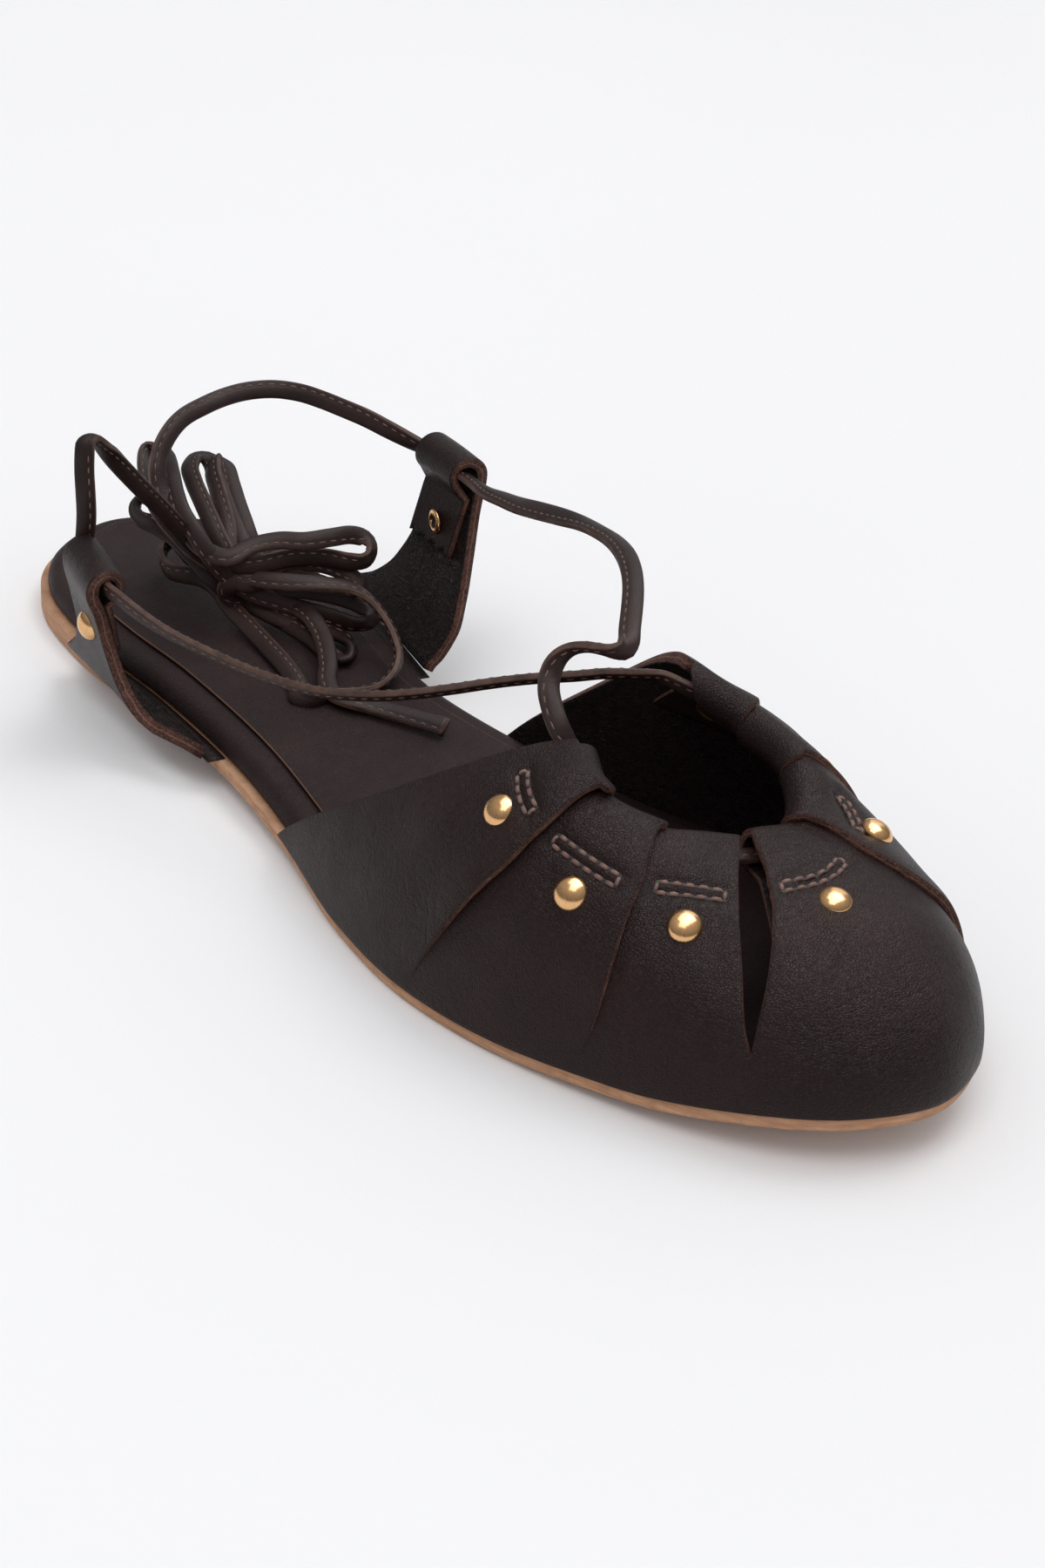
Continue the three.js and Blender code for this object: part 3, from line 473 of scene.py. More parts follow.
outer_end = [
    (60.5, -37.5, 35.4, 0), (60.2, -37.1, 38.0, 0), (60.6, -37.1, 42.0, 0), (60.9, -37.4, 46.5, 0),
    (60.2, -37.2, 50.5, 0), (60.0, -37.0, 53.8, 0), (59.6, -36.6, 55.4, 20), (58.8, -35.0, 55.8, 70),
    (58.0, -33.2, 54.6, 110), (56.9, -30.8, 51.8, 150), (55.9, -27.7, 48.0, 175), (55.1, -24.3, 44.0, 180),
    (54.1, -20.8, 40.0, 180), (52.5, -16.8, 35.6, 185), (51.3, -13.0, 31.0, 190), (51.4, -9.6, 26.6, 190),
    (52.5, -6.3, 22.6, 190), (55.6, -2.8, 19.0, 190), (59.6, 0.6, 18.0, 190), (64.0, 3.8, 18.6, 185),
    (67.8, 7.4, 18.8, 180), (71.4, 11.0, 18.4, 180), (74.7, 13.9, 17.6, 180), (77.0, 15.4, 16.4, 200),
    (78.4, 14.4, 15.0, 240), (76.7, 12.3, 14.4, 230), (72.6, 9.4, 14.8, 200), (68.3, 6.1, 15.2, 190),
    (64.2, 2.4, 16.2, 190), (61.1, -1.3, 17.6, 190), (58.8, -5.4, 21.0, 190), (57.1, -8.2, 25.0, 190),
    (53.2, -9.5, 28.8, 190), (48.7, -9.7, 31.4, 190), (43.5, -8.2, 33.2, 180), (37.7, -5.7, 34.4, 170),
    (30.4, -2.6, 34.8, 150), (26.0, -1.8, 34.6, 100), (25.1, -3.3, 34.0, 60), (28.4, -5.8, 33.2, 30),
    (32.8, -7.9, 32.0, 20), (37.2, -9.4, 30.0, 20), (41.3, -9.6, 27.6, 20), (44.6, -8.4, 25.0, 20),
    (49.1, -6.8, 22.4, 20), (54.3, -4.0, 20.6, 20), (61.4, -1.5, 20.8, 20), (67.3, 2.6, 21.6, 20),
    (71.5, 7.8, 21.8, 40), (75.0, 12.1, 21.4, 60), (79.2, 13.7, 20.4, 80), (84.0, 13.8, 18.8, 90),
    (88.7, 13.1, 16.8, 90), (93.0, 11.2, 14.8, 90), (95.9, 7.5, 13.2, 90), (96.8, 3.2, 12.2, 90),
    (95.6, -0.9, 11.8, 80), (94.7, -5.1, 11.8, 60), (94.6, -9.3, 11.8, 30), (92.3, -10.7, 11.8, 0),
    (88.9, -8.6, 12.0, -20), (82.4, -6.8, 12.2, -10), (73.5, -5.4, 12.4, 0), (64.6, -4.4, 12.8, 0),
    (57.3, -4.0, 13.6, 0), (51.1, -2.9, 14.4, 0), (46.4, -3.6, 14.8, 10), (43.0, -5.6, 14.6, 20),
    (39.7, -6.8, 14.2, 40), (35.3, -5.8, 14.2, 80), (31.2, -3.4, 14.8, 100), (29.9, -1.0, 15.6, 120),
    (34.7, -1.4, 16.2, 150), (41.3, -2.6, 16.6, 170), (46.8, -2.4, 16.6, 180), (55.0, -1.8, 15.8, 180),
    (61.6, 0.5, 13.6, 190), (67.8, 3.5, 12.8, 200), (72.1, 6.8, 12.6, 210), (76.3, 9.0, 12.4, 230),
    (81.0, 8.5, 12.2, 260), (84.3, 5.1, 12.0, 290), (81.4, 3.6, 12.0, 320), (75.0, 3.9, 12.2, 340),
    (67.1, 3.0, 12.4, 350), (59.3, 1.2, 12.8, 350), (56.5, -2.7, 15.2, 350), (53.6, -5.7, 18.4, 350),
    (48.4, -6.9, 21.0, 350), (41.8, -7.3, 22.6, 350), (37.1, -8.5, 23.4, 350), (33.7, -9.8, 23.8, 330),
    (29.7, -8.9, 24.2, 290), (27.4, -6.4, 24.8, 250), (30.0, -5.1, 25.2, 220), (36.2, -5.6, 25.0, 200),
    (42.7, -5.9, 24.0, 190), (48.8, -5.6, 22.0, 190), (52.5, -3.9, 19.4, 190),
]
inner_lace, inner_path, inner_length = make_lace("lace_inner_end", inner_end)
outer_lace, outer_path, outer_length = make_lace("lace_outer_end", outer_end)
free_ends = (inner_lace, inner_path, inner_length, "bare"), (outer_lace, outer_path, outer_length, "knot")
for piece, path, length, far_end in free_ends:
    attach(piece, "root")
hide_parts("lace_tail_medial", "lace_hank", "lace_end")
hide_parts("lace_tail_lateral")
print("free lace", round(inner_length), "and", round(outer_length), "mm")

# %% [markdown]
# ## The held lace
#
# Between the two wings the lace crosses the instep, passes through the channel of all seven tabs and
# comes back. The foot would keep it taut; on an empty shoe the stiff leather keeps its own arcs. Its
# middle is the rim itself, so the tabs are rolled round the very line that the lace follows.

# %% The held lace
inner_run = [
    (67.3, 35.0, 42.2, 60), (74.0, 34.4, 42.2, 60), (80.7, 33.7, 42.2, 60), (84.9, 32.8, 42.6, 60),
    (92.4, 30.2, 44.4, 45), (99.8, 28.1, 46.6, 35), (107.2, 26.1, 48.8, 25), (114.4, 24.8, 51.0, 20),
    (122.5, 23.5, 53.4, 25), (129.9, 22.2, 55.4, 40), (137.2, 20.3, 57.2, 45), (143.8, 18.2, 58.6, 35),
    (150.0, 15.4, 59.6, 15), (156.1, 11.8, 60.0, 0), (161.2, 8.1, 59.6, -5), (165.6, 4.4, 58.8, -10),
    (169.3, 1.1, 57.8, -15), (171.8, -1.1, 57.0, -5), (172.5, -2.4, 56.4, 30), (171.5, -3.9, 56.0, 70),
    (169.3, -4.8, 55.7, 85), (166.8, -5.8, 55.2, 85), (165.3, -7.4, 54.5, 70), (164.7, -9.2, 53.2, 45),
    (165.0, -10.9, 51.3, 20), (166.6, -12.5, 49.4, 5), (169.3, -13.8, 47.7, 0), (172.3, -14.5, 45.6, 0),
]
outer_run = [
    (159.6, 17.6, 40.2, 70), (157.5, 13.1, 40.9, 80), (155.2, 8.6, 41.1, 80), (153.2, 4.0, 40.9, 80),
    (150.2, 0.3, 40.2, 80), (146.7, -3.2, 39.0, 80), (143.7, -6.9, 37.9, 80), (140.2, -11.6, 36.5, 80),
    (135.4, -17.1, 34.7, 80), (129.5, -21.9, 32.9, 80), (121.0, -26.9, 31.2, 80), (110.8, -31.0, 30.6, 80),
    (100.2, -35.0, 31.0, 75), (91.3, -38.6, 32.2, 70), (84.4, -40.7, 33.6, 60), (79.2, -41.4, 34.4, 60),
    (76.6, -41.6, 34.6, 60), (69.0, -39.8, 34.6, 60), (61.4, -38.0, 34.6, 30),
]
channel = with_turns(rim(np.arange(0, 7.01, 0.5)), 60)
held_lace, _, held_length = make_lace("lace_held", np.vstack([inner_run, channel, outer_run]))
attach(held_lace, "root")
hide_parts("lace")
print("held lace", round(held_length), "mm")

# %% [markdown]
# ## The vamp's form
#
# The vamp is drawn like a last: for every place along the throat, a section rises from the sole's outline
# in a rounded curve and ends over the lace. Two numbers place any point on it: s counts the tab edges
# from the outer end round the toe to the inner end, and up goes from the sole to the fold.


# %% Outer face of the vamp
tab_count = len(vamp_side) - 1
print("vamp of", tab_count, "tabs")
foot_share = [float(outline_share(side, base * sole_length)) for side, base in zip(vamp_side, vamp_base)]


def vamp(s, up):
    """From the sole to the fold: across by the cosine and up by the sine of a quarter turn, to a power."""
    s, up = np.broadcast_arrays(np.asarray(s, float), np.asarray(up, float))
    rise = np.sin(np.clip(up, 0, 1) * np.pi / 2)
    full = flowing(vamp_full, s)
    lean = flowing(vamp_lean, s) * sole_length / outline_length
    foot = outline(flowing(foot_share, s) + lean * rise**full, upper_overhang)
    top = rim(s) + np.array([0, 0, fold_radius])
    foot_z = outsole_top(np.minimum(foot[..., 0], sole_length)) + seam
    out = np.sqrt(np.maximum(1 - rise * rise, 0)) ** full
    return np.stack([
        top[..., 0] + (foot[..., 0] - top[..., 0]) * out,
        top[..., 1] + (foot[..., 1] - top[..., 1]) * out,
        foot_z + (top[..., 2] - foot_z) * rise**full,
    ], -1)


def vamp_normal(s, up):
    """Outward normal from small steps along both parameters."""
    s, up = np.broadcast_arrays(np.asarray(s, float), np.asarray(up, float))
    low, high = np.clip(up - 0.01, 0, 0.985), np.clip(up + 0.01, 0.015, 1)
    return unit(np.cross(vamp(s + 0.01, up) - vamp(s - 0.01, up), vamp(s, high) - vamp(s, low)))


# %% [markdown]
# ## Leather with a thickness
#
# Tabs and wings are cut from leather, so each is a slab: a grain side, a raw edge, a flesh side and a raw
# edge again make one closed ring, and the rings follow each other from the sole, over the fold and down
# the flap. Real cut edges catch the light, so the corners get a small bevel.


# %% A slab from its grain side
def slab_rings(grain, thickness, bevel=0.14, given=None):
    """Grain, three edge, flesh and three edge points a row; the mark is 0 on the grain, 1 mid edge, 2 on the flesh."""
    normal = grid_normals(grain)
    normal[:, :2], normal[:, -2:] = normal[:, 2:3], normal[:, -3:-2]
    normal[1:-1] = unit(normal[:-2] + 2 * normal[1:-1] + normal[2:])
    if given is not None:
        normal[: len(given)] = given
    depth = np.broadcast_to(thickness, grain.shape[:2])[..., None]
    flesh = grain - normal * depth
    rings, marks = [grain], [np.zeros(grain.shape[:2])]
    raw = np.array([0.75, 1.0, 1.25])
    for edge, inner in ((-1, -4), (0, 3)):
        corner, back, n = grain[:, edge], flesh[:, edge], normal[:, edge]
        outward = corner - grain[:, inner]
        outward = unit(outward - np.sum(outward * n, -1, keepdims=True) * n)
        lip, middle = outward * bevel, (corner + back) / 2 + outward * 1.6 * bevel
        strip = np.stack([corner - n * bevel + lip, middle, back + n * bevel + lip], 1)
        rings.append(strip if edge == -1 else strip[:, ::-1])
        marks.append(np.broadcast_to(raw if edge == -1 else raw[::-1], strip.shape[:2]))
        if edge == -1:
            rings.append(flesh[:, ::-1])
            marks.append(np.full(grain.shape[:2], 2.0))
    return np.concatenate(rings, 1), np.concatenate(marks, 1)


def slab_faces(rows, cols, first=0, open_right=0, open_left=0):
    """Side faces and both end caps of a slab; the first open rows of an edge are left out, where a neighbour joins."""
    ring_size = 2 * cols + 6
    r, c = (v.ravel() for v in np.meshgrid(np.arange(rows - 1), np.arange(ring_size), indexing="ij"))
    right = (c >= cols - 1) & (c < cols + 3)
    left = c >= 2 * cols + 2
    keep = ~((right & (r < open_right)) | (left & (r < open_left)))
    r, c = r[keep], c[keep]
    n = (c + 1) % ring_size
    here, above = first + r * ring_size, first + (r + 1) * ring_size
    quads = np.stack([here + c, here + n, above + n, above + c], -1)
    caps = []
    j = np.arange(cols - 1)
    flesh = 2 * cols + 2 - j
    for row, turn in ((0, -1), (rows - 1, 1)):
        base = first + row * ring_size
        cap = base + np.stack([j, j + 1, flesh - 1, flesh], -1)
        caps.append(cap[:, ::turn])
        if row or not open_right:
            caps.append((base + cols - 1 + np.arange(5)[None])[:, ::turn])
        if row or not open_left:
            caps.append((base + np.r_[2 * cols + 2 + np.arange(4), 0][None])[:, ::turn])
    return [quads, *caps]


# %% [markdown]
# ## The upper: seven tabs
#
# One piece of leather is slit into tabs. Each tab rises, rolls over the lace and is sewn and riveted to
# itself. It could be cut out of one mesh with a boolean, but then no tab could lift or gape by itself. So
# each tab is its own grid between two slits, and neighbours share their border below the slit's start.
#
# A slit's table gives, up along the slit, where the rear tab's edge and the front tab's edge run, as places
# along the numbered edges, and how far each of the two stands off. The first two rows of both edges agree,
# because the slit starts there.

# %% Slits, rivets and sewn boxes
slits = {
    1: dict(up=[0, 0.05, 0.17, 0.31, 0.455, 0.60, 0.77, 1], rear=[1.02, 1.02, 1.045, 1.09, 1.155, 1.21, 1.21, 1.14],
            front=[1.02, 1.02, 1.01, 1.00, 1.01, 1.03, 1.04, 1.03], lift=(1.6, -0.7)),
    2: dict(up=[0, 0.05, 0.265, 0.47, 0.70, 1], rear=[2.01, 2.02, 2.09, 2.115, 2.13, 2.04],
            front=[2.01, 2.02, 2.06, 2.08, 2.09, 2.02], lift=(1.0, -0.3)),
    3: dict(up=[0, 0.17, 0.315, 0.51, 0.67, 0.83, 1], rear=[3.03, 3.03, 2.995, 2.975, 2.955, 2.94, 2.955],
            front=[3.03, 3.03, 3.05, 3.095, 3.13, 3.16, 3.13], lift=(-0.2, 0.7)),
    4: dict(up=[0, 0.08, 0.365, 0.52, 0.67, 0.79, 0.90, 1], rear=[4.08, 4.08, 4.075, 4.03, 3.99, 3.98, 4.03, 4.04],
            front=[4.08, 4.08, 4.045, 3.95, 3.89, 3.87, 3.94, 3.99], lift=(-0.8, 0.9)),
    5: dict(up=[0, 0.08, 0.5, 1], rear=[5.0, 5.0, 4.985, 4.985], front=[5.0, 5.0, 5.015, 5.015], lift=(-0.2, 0.7)),
    6: dict(up=[0, 0.08, 0.5, 1], rear=[6.0, 6.0, 5.985, 5.985], front=[6.0, 6.0, 6.015, 6.015], lift=(-0.2, 0.7)),
}
tab_rivets = [(0.77, 0.65), (1.68, 0.555), (2.61, 0.60), (3.43, 0.75), (4.22, 0.72), (5.35, 0.59), (6.35, 0.63)]
# sewn boxes, by the upper row of stitches: s and up of one end, s and up of the other
sewn_boxes = [
    (0.44, 0.80, 1.03, 0.745), (1.34, 0.72, 1.96, 0.695), (2.28, 0.74, 2.86, 0.77), (3.21, 0.815, 3.66, 0.865),
    (4.10, 0.835, 4.55, 0.825), (5.20, 0.75, 5.62, 0.75), (6.15, 0.76, 6.55, 0.76),
]
box_height = 1.9
face_rows, roll_rows, join_rows, flap_rows, tab_cols = 80, 18, 3, 12, 47
roll_ply, flap_ply = 1.5, 1.3
last_tab, last_tab_lift, last_tab_ply, last_tab_sweep = tab_count - 1, 1.7, 0.7, -0.30
row_up = 1 - (1 - np.linspace(0, 1, face_rows)) ** 1.15
across = 0.35 * (0.5 - 0.5 * np.cos(np.linspace(0, np.pi, tab_cols))) + 0.65 * np.linspace(0, 1, tab_cols)


def slit_edge(edge, side, up):
    """Where a tab's edge runs at a height, as a place along the numbered edges."""
    return steady(slits[edge]["up"], slits[edge][side], up)


def edge_lift(edge, side, up):
    """How far the tab's edge stands off the vamp's form: nothing where the slit starts, all of it above."""
    start = slits[edge]["up"][1]
    return slits[edge]["lift"][side == "front"] * smooth(start, start + 0.4, up)


# soft troughs pressed by wear and by the sewing: s and up of both ends, depth and half width in millimetres
folds = [
    (0.30, 0.62, 0.62, 0.56, 0.30, 2.6), (0.95, 0.62, 1.12, 0.50, 0.25, 2.0), (1.42, 0.62, 1.58, 0.50, 0.30, 2.2),
    (1.86, 0.60, 1.98, 0.45, 0.22, 2.4), (2.34, 0.66, 2.45, 0.50, 0.28, 2.2), (2.78, 0.64, 2.86, 0.46, 0.22, 2.4),
    (3.24, 0.70, 3.30, 0.55, 0.28, 2.4), (3.62, 0.72, 3.78, 0.60, 0.25, 2.2), (3.45, 0.42, 4.10, 0.30, 0.25, 6.0),
    (3.20, 0.28, 3.75, 0.20, 0.20, 5.0), (4.25, 0.95, 4.62, 0.80, 0.50, 2.0), (0.45, 0.36, 0.95, 0.30, 0.22, 5.0),
    (1.30, 0.30, 1.85, 0.26, 0.20, 5.0), (2.30, 0.28, 2.80, 0.25, 0.18, 5.0), (5.30, 0.80, 5.60, 0.66, 0.30, 2.4),
    (6.20, 0.80, 6.60, 0.70, 0.30, 2.4),
]
print(len(slits), "slits,", len(sewn_boxes), "sewn boxes,", len(folds), "soft troughs")

# %% [markdown]
# ## What the sewing presses into a tab
#
# Leather that is riveted and sewn doesn't stay a plain surface: it sinks round each rivet and under each row
# of stitches, and stands up a little between the rows. A sculptor would press this in by hand. Here each
# mark is a bell curve of the distance to a point or a line, and all of them add up to one lift of the face.


# %% Bells, distances and sewn corners
def bell(distance, reach):
    """1 on the spot, falling as e to the minus square of distance over reach."""
    return np.exp(-((distance / reach) ** 2))


def from_segment(points, a, b):
    """Distance of points from the line between a and b."""
    along = b - a
    t = np.clip(((points - a) @ along) / (along @ along), 0, 1)
    return np.linalg.norm(points - a - t[..., None] * along, axis=-1)


rivet_seats = [(vamp(s, up), vamp_normal(s, up)) for s, up in tab_rivets]


def sewn_corners(box):
    """The four corners of a sewn box: two on the upper row, two on the lower, a box height further down."""
    s0, up0, s1, up1 = box
    corners = []
    for s, up in ((s0, up0), (s1, up1)):
        high = vamp(s, up)
        corners += [(s, up), (s, up - 0.05 * box_height / np.linalg.norm(vamp(s, up - 0.05) - high))]
    return [corners[0], corners[2], corners[3], corners[1]]


def pressed(tab, face, lift):
    """Lift less the hollows of the rivet, the sewn box and the folds, plus the pad between the stitches."""
    lift = lift - 0.45 * bell(np.linalg.norm(face - rivet_seats[tab][0], axis=-1), 3.6)
    corners = [vamp(*corner) for corner in sewn_corners(sewn_boxes[tab])]
    middle = from_segment(face, (corners[0] + corners[3]) / 2, (corners[1] + corners[2]) / 2)
    rows = [bell(from_segment(face, corners[a], corners[b]), 0.7) for a, b in ((0, 1), (3, 2))]
    lift = lift - 0.6 * bell(middle, 2.6) + 0.4 * bell(middle, 0.8) - 0.4 * np.maximum(*rows)
    for s0, up0, s1, up1, deep, half_width in folds:
        if tab <= s0 < tab + 1:
            lift = lift - deep * bell(from_segment(face, vamp(s0, up0), vamp(s1, up1)), half_width)
    return lift


# %% [markdown]
# ## One tab from its face to its flap
#
# A tab has three stretches: its face on the vamp, the roll round the lace and the flap inside. They follow
# each other in one grid, so the leather is one skin without a joint, as on the real shoe.


# %% Face, roll and flap of a tab
def tab_places(tab):
    """Places s of a tab's face: from one slit edge to the other at every height of row_up."""
    low = slit_edge(tab, "front", row_up) if tab > 0 else np.zeros_like(row_up)
    high = slit_edge(tab + 1, "rear", row_up) if tab < last_tab else np.full_like(row_up, tab_count)
    return low[:, None] + (high - low)[:, None] * across


def tab_rise(tab, face):
    """A crown along the tab's middle, and both edges lifted at their slits; the last one's rear edge stands up."""
    crown = 0.5 if tab < 4 else 0.1
    lift = crown * np.sin(np.pi * across) * smooth(0.1, 0.5, row_up)[:, None]
    from_low, from_high = (np.linalg.norm(face - face[:, [edge]], axis=-1) for edge in (0, -1))
    if tab > 0:
        lift = lift + edge_lift(tab, "front", row_up)[:, None] * bell(from_low, 6)
    if tab < last_tab:
        return lift + edge_lift(tab + 1, "rear", row_up)[:, None] * bell(from_high, 6)
    return lift + last_tab_lift * smooth(0.35, 0.75, row_up)[:, None] * bell(from_high, 7)


def tab_roll(tab, s, lift):
    """Circle about the lace's middle, from the last row of the face, at places s, round to the inside."""
    degrees = np.linspace(90, 282, roll_rows + 1)[1:, None]
    sweep = (last_tab_sweep if tab == last_tab else 0) * smooth(95, 200, degrees)
    roll_s = s[None, :] + sweep * across[None, :] ** 3
    centre = rim(roll_s)
    outward = vamp(roll_s, 0.6) - centre
    along = unit(rim(roll_s + 0.02) - rim(roll_s - 0.02))
    outward[..., 2] = 0
    outward = unit(outward - np.sum(outward * along, -1, keepdims=True) * along)
    upward = unit(np.cross(outward, along))
    upward = upward * np.sign(upward[..., 2:3])
    turn = np.radians(degrees)[..., None]
    reach = fold_radius + lift[None, :, None] * np.sin(turn)
    return centre + reach * (outward * np.cos(turn) + upward * np.sin(turn)), roll_s[-1]


def tab_flap(s, roll_end):
    """The flap under the face at places s, and before it a few rows that join it to the roll's end."""
    up = np.linspace(0.86, 0.52, flap_rows)[:, None]
    s = s[None, :] + np.zeros((flap_rows, 1))
    flap = vamp(s, up) - vamp_normal(s, up) * (upper_wall + roll_ply)
    blend = smooth(0, 1, np.linspace(0, 1, join_rows + 2))[1:-1, None, None]
    return np.concatenate([roll_end * (1 - blend) + flap[0] * blend, flap])


def tab_grain(tab):
    """Grain side of a whole tab, the leather's thickness on it, and the places of its face."""
    s = tab_places(tab)
    face = vamp(s, row_up[:, None])
    normal = vamp_normal(s, np.minimum(row_up, 0.97)[:, None])
    lift = pressed(tab, face, tab_rise(tab, face))
    roll, end_s = tab_roll(tab, s[-1], lift[-1])
    grain = np.concatenate([face + normal * lift[..., None], roll, tab_flap(end_s, roll[-1])])
    wall = np.repeat([upper_wall, roll_ply, flap_ply], [face_rows, roll_rows, join_rows + flap_rows])
    wall = wall[:, None] + np.zeros(tab_cols)
    if tab == last_tab:
        wall[:face_rows] += last_tab_ply * bell(np.linalg.norm(face - face[:, -1:], axis=-1), 4)
    return grain, wall, s


def build_upper():
    """Rings of all seven tabs; below a slit's start two neighbours share their border and become one."""
    points, marks, faces, first = [], [], [], 0
    for tab in range(tab_count):
        grain, wall, s = tab_grain(tab)
        tab_faces.append(grain[:face_rows])
        shared = [int(np.searchsorted(row_up, slits[edge]["up"][1])) if edge in slits else 0 for edge in (tab, tab + 1)]
        joined = max(shared) + 1
        rings, raw = slab_rings(grain, wall, given=vamp_normal(s[:joined], row_up[:joined, None]))
        faces += slab_faces(*grain.shape[:2], first, open_left=shared[0], open_right=shared[1])
        points.append(rings.reshape(-1, 3))
        marks.append(raw.ravel())
        first += raw.size
    return np.concatenate(points), faces, np.concatenate(marks)


tab_faces = []
points, faces, marks = build_upper()
upper = make_piece("vamp_tabs", points, faces, {"side": marks})
tidy_shell(upper, 2e-6)
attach(upper, "root")
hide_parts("upper")
print("upper", len(upper.data.polygons), "faces")

# %% [markdown]
# ## The side wings
#
# Each wing is a tall tongue of doubled leather that stands out from the side of the footbed, leans outwards
# and is rolled over at the top into a loop for the lace. Its flap comes down again on the inside and is
# riveted through. A wing is a bent sheet, so it is a grid too: from its rear to its front edge, and up from
# the sole. Its table has few rows, because the leather is stiff and its edges run in long curves.

# %% Wing tables
wing_rows, wing_cols, loop_rows, wing_flap_rows = 34, 21, 18, 12
wings = {
    "lateral": dict(side=-1, height=lateral_wing_height, rivet=(0.45, 0.59), rows=[
        # up, rear and front as shares of the length, lean of both as shares of the flare
        (0.00, 0.180, 0.388, 0.03, 0.03), (0.07, 0.188, 0.346, 0.12, 0.34), (0.20, 0.212, 0.328, 0.26, 0.47),
        (0.36, 0.234, 0.311, 0.38, 0.52), (0.58, 0.247, 0.305, 0.49, 0.60), (0.80, 0.250, 0.310, 0.59, 0.72),
        (1.00, 0.250, 0.315, 0.66, 0.85)]),
    "medial": dict(side=1, height=medial_wing_height, rivet=(0.48, 0.68), rows=[
        (0.00, 0.195, 0.358, 0.03, 0.03), (0.07, 0.202, 0.358, 0.09, 0.16), (0.20, 0.233, 0.358, 0.20, 0.32),
        (0.36, 0.255, 0.349, 0.31, 0.46), (0.58, 0.267, 0.334, 0.45, 0.61), (0.80, 0.268, 0.322, 0.60, 0.73),
        (1.00, 0.267, 0.317, 0.73, 0.82)]),
}


def wing_point(wing, a, up, inward=0.0):
    """Outer face of a wing: a goes from its rear to its front edge, up from the sole to the loop's middle."""
    rows = np.array(wing["rows"])
    a, up = np.broadcast_arrays(np.asarray(a, float), np.asarray(up, float))
    rear, front, rear_out, front_out = (steady(rows[:, 0], rows[:, k], up) for k in (1, 2, 3, 4))
    x = sole_length * (rear + (front - rear) * a)
    out = wing_flare * (rear_out + (front_out - rear_out) * a) + seam + wing_wall - inward
    flat = outline(outline_share(wing["side"], x), out)
    base = outsole_top(x) + 2 * seam
    return np.concatenate([flat, (base + (wing["height"] - base) * up)[..., None]], -1)


def wing_grain(wing, across):
    """Grain side of a wing: up its outer face, round the loop and down the flap inside."""
    face = wing_point(wing, across[None, :], np.linspace(0, 1, wing_rows)[:, None])
    top = wing_point(wing, across, 1.0)
    outward = unit(top - wing_point(wing, across, 1.0, inward=1.0))
    along = unit(np.gradient(top, axis=0))
    upward = unit(np.cross(outward, along))
    upward = upward * np.sign(upward[:, 2:3])
    turn = np.radians(np.linspace(0, 226, loop_rows + 1)[1:])[:, None, None]
    loop = top - outward * loop_radius + loop_radius * (outward * np.cos(turn) + upward * np.sin(turn))
    down = np.linspace(0, 1, wing_flap_rows)[:, None]
    flap_up = np.linspace(0.86, wing["rivet"][1] - 0.11, wing_flap_rows)[:, None]
    flap_across = across[None, :] * (1 - 0.24 * down) + 0.06 * down
    ragged = 0.012 * np.sin(across * 23.0)[None, :] * smooth(0.6, 1, down)
    flap = wing_point(wing, flap_across, flap_up + ragged, inward=wing_wall + 1.6)
    loop_wall = np.linspace(wing_wall, 1.6, loop_rows)
    wall = np.r_[np.full(wing_rows, wing_wall), loop_wall, np.full(wing_flap_rows, roll_ply)]
    return np.concatenate([face, loop, flap]), wall[:, None]


def wing_foot(wing):
    """The wing's foot turned in under the footbed: a thin flat strip that follows the outline, closed at its ends."""
    rear, front = wing["rows"][0][1] + 0.006, wing["rows"][0][2] + 0.004
    x = np.linspace(rear, front, 40) * sole_length
    reach = np.array([0.4, 2.2, 2.2, 0.4, -1.3, -1.3])
    height = np.array([0.03, 0.03, 0.27, 0.27, 0.27, 0.03])
    flat = outline(outline_share(wing["side"], x)[:, None], reach[None, :] + 0 * x[:, None])
    points = np.concatenate([flat, (outsole_top(x)[:, None] + height)[..., None]], -1)
    ends = [np.broadcast_to(points[k].mean(0), (1, 6, 3)) for k in (0, -1)]
    return np.concatenate([ends[0], points, ends[1]])


def build_wing(name, wing):
    """The wing's slab, sunk a little round its rivet, with its foot."""
    across = 0.5 - 0.5 * np.cos(np.linspace(0, np.pi, wing_cols))
    across = 0.5 * across + 0.5 * np.linspace(0, 1, wing_cols)
    if wing["side"] > 0:
        across = across[::-1]
    grain, wall = wing_grain(wing, across)
    far = np.linalg.norm(grain[:wing_rows] - wing_point(wing, *wing["rivet"]), axis=-1)
    grain[:wing_rows] -= grid_normals(grain)[:wing_rows] * (0.4 * bell(far, 3.4))[..., None]
    rings, side = slab_rings(grain, wall, bevel=0.2)
    foot = wing_foot(wing)
    faces = slab_faces(*grain.shape[:2]) + [grid_faces(*foot.shape[:2], close_cols=True, first=side.size)]
    points = np.vstack([rings.reshape(-1, 3), foot.reshape(-1, 3)])
    side = np.r_[side.ravel(), np.zeros(foot[..., 0].size)]
    return tidy_shell(make_piece(name, points, faces, {"side": side}))


for name, wing in wings.items():
    piece = build_wing("wing_leather_" + name, wing)
    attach(piece, "root")
    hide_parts("wing_" + name)
    print("wing", name, len(piece.data.polygons), "faces")

# %% [markdown]
# ## Footbed, sock and outsole
#
# The three layers under the foot share the sole's outline. Each is made of closed rings: the rings of the
# side follow its profile, and the rings of the top draw together towards a spine along the middle. A flat
# top filled with one face would be quicker, but a grid of rings can take the hollows that a foot presses.

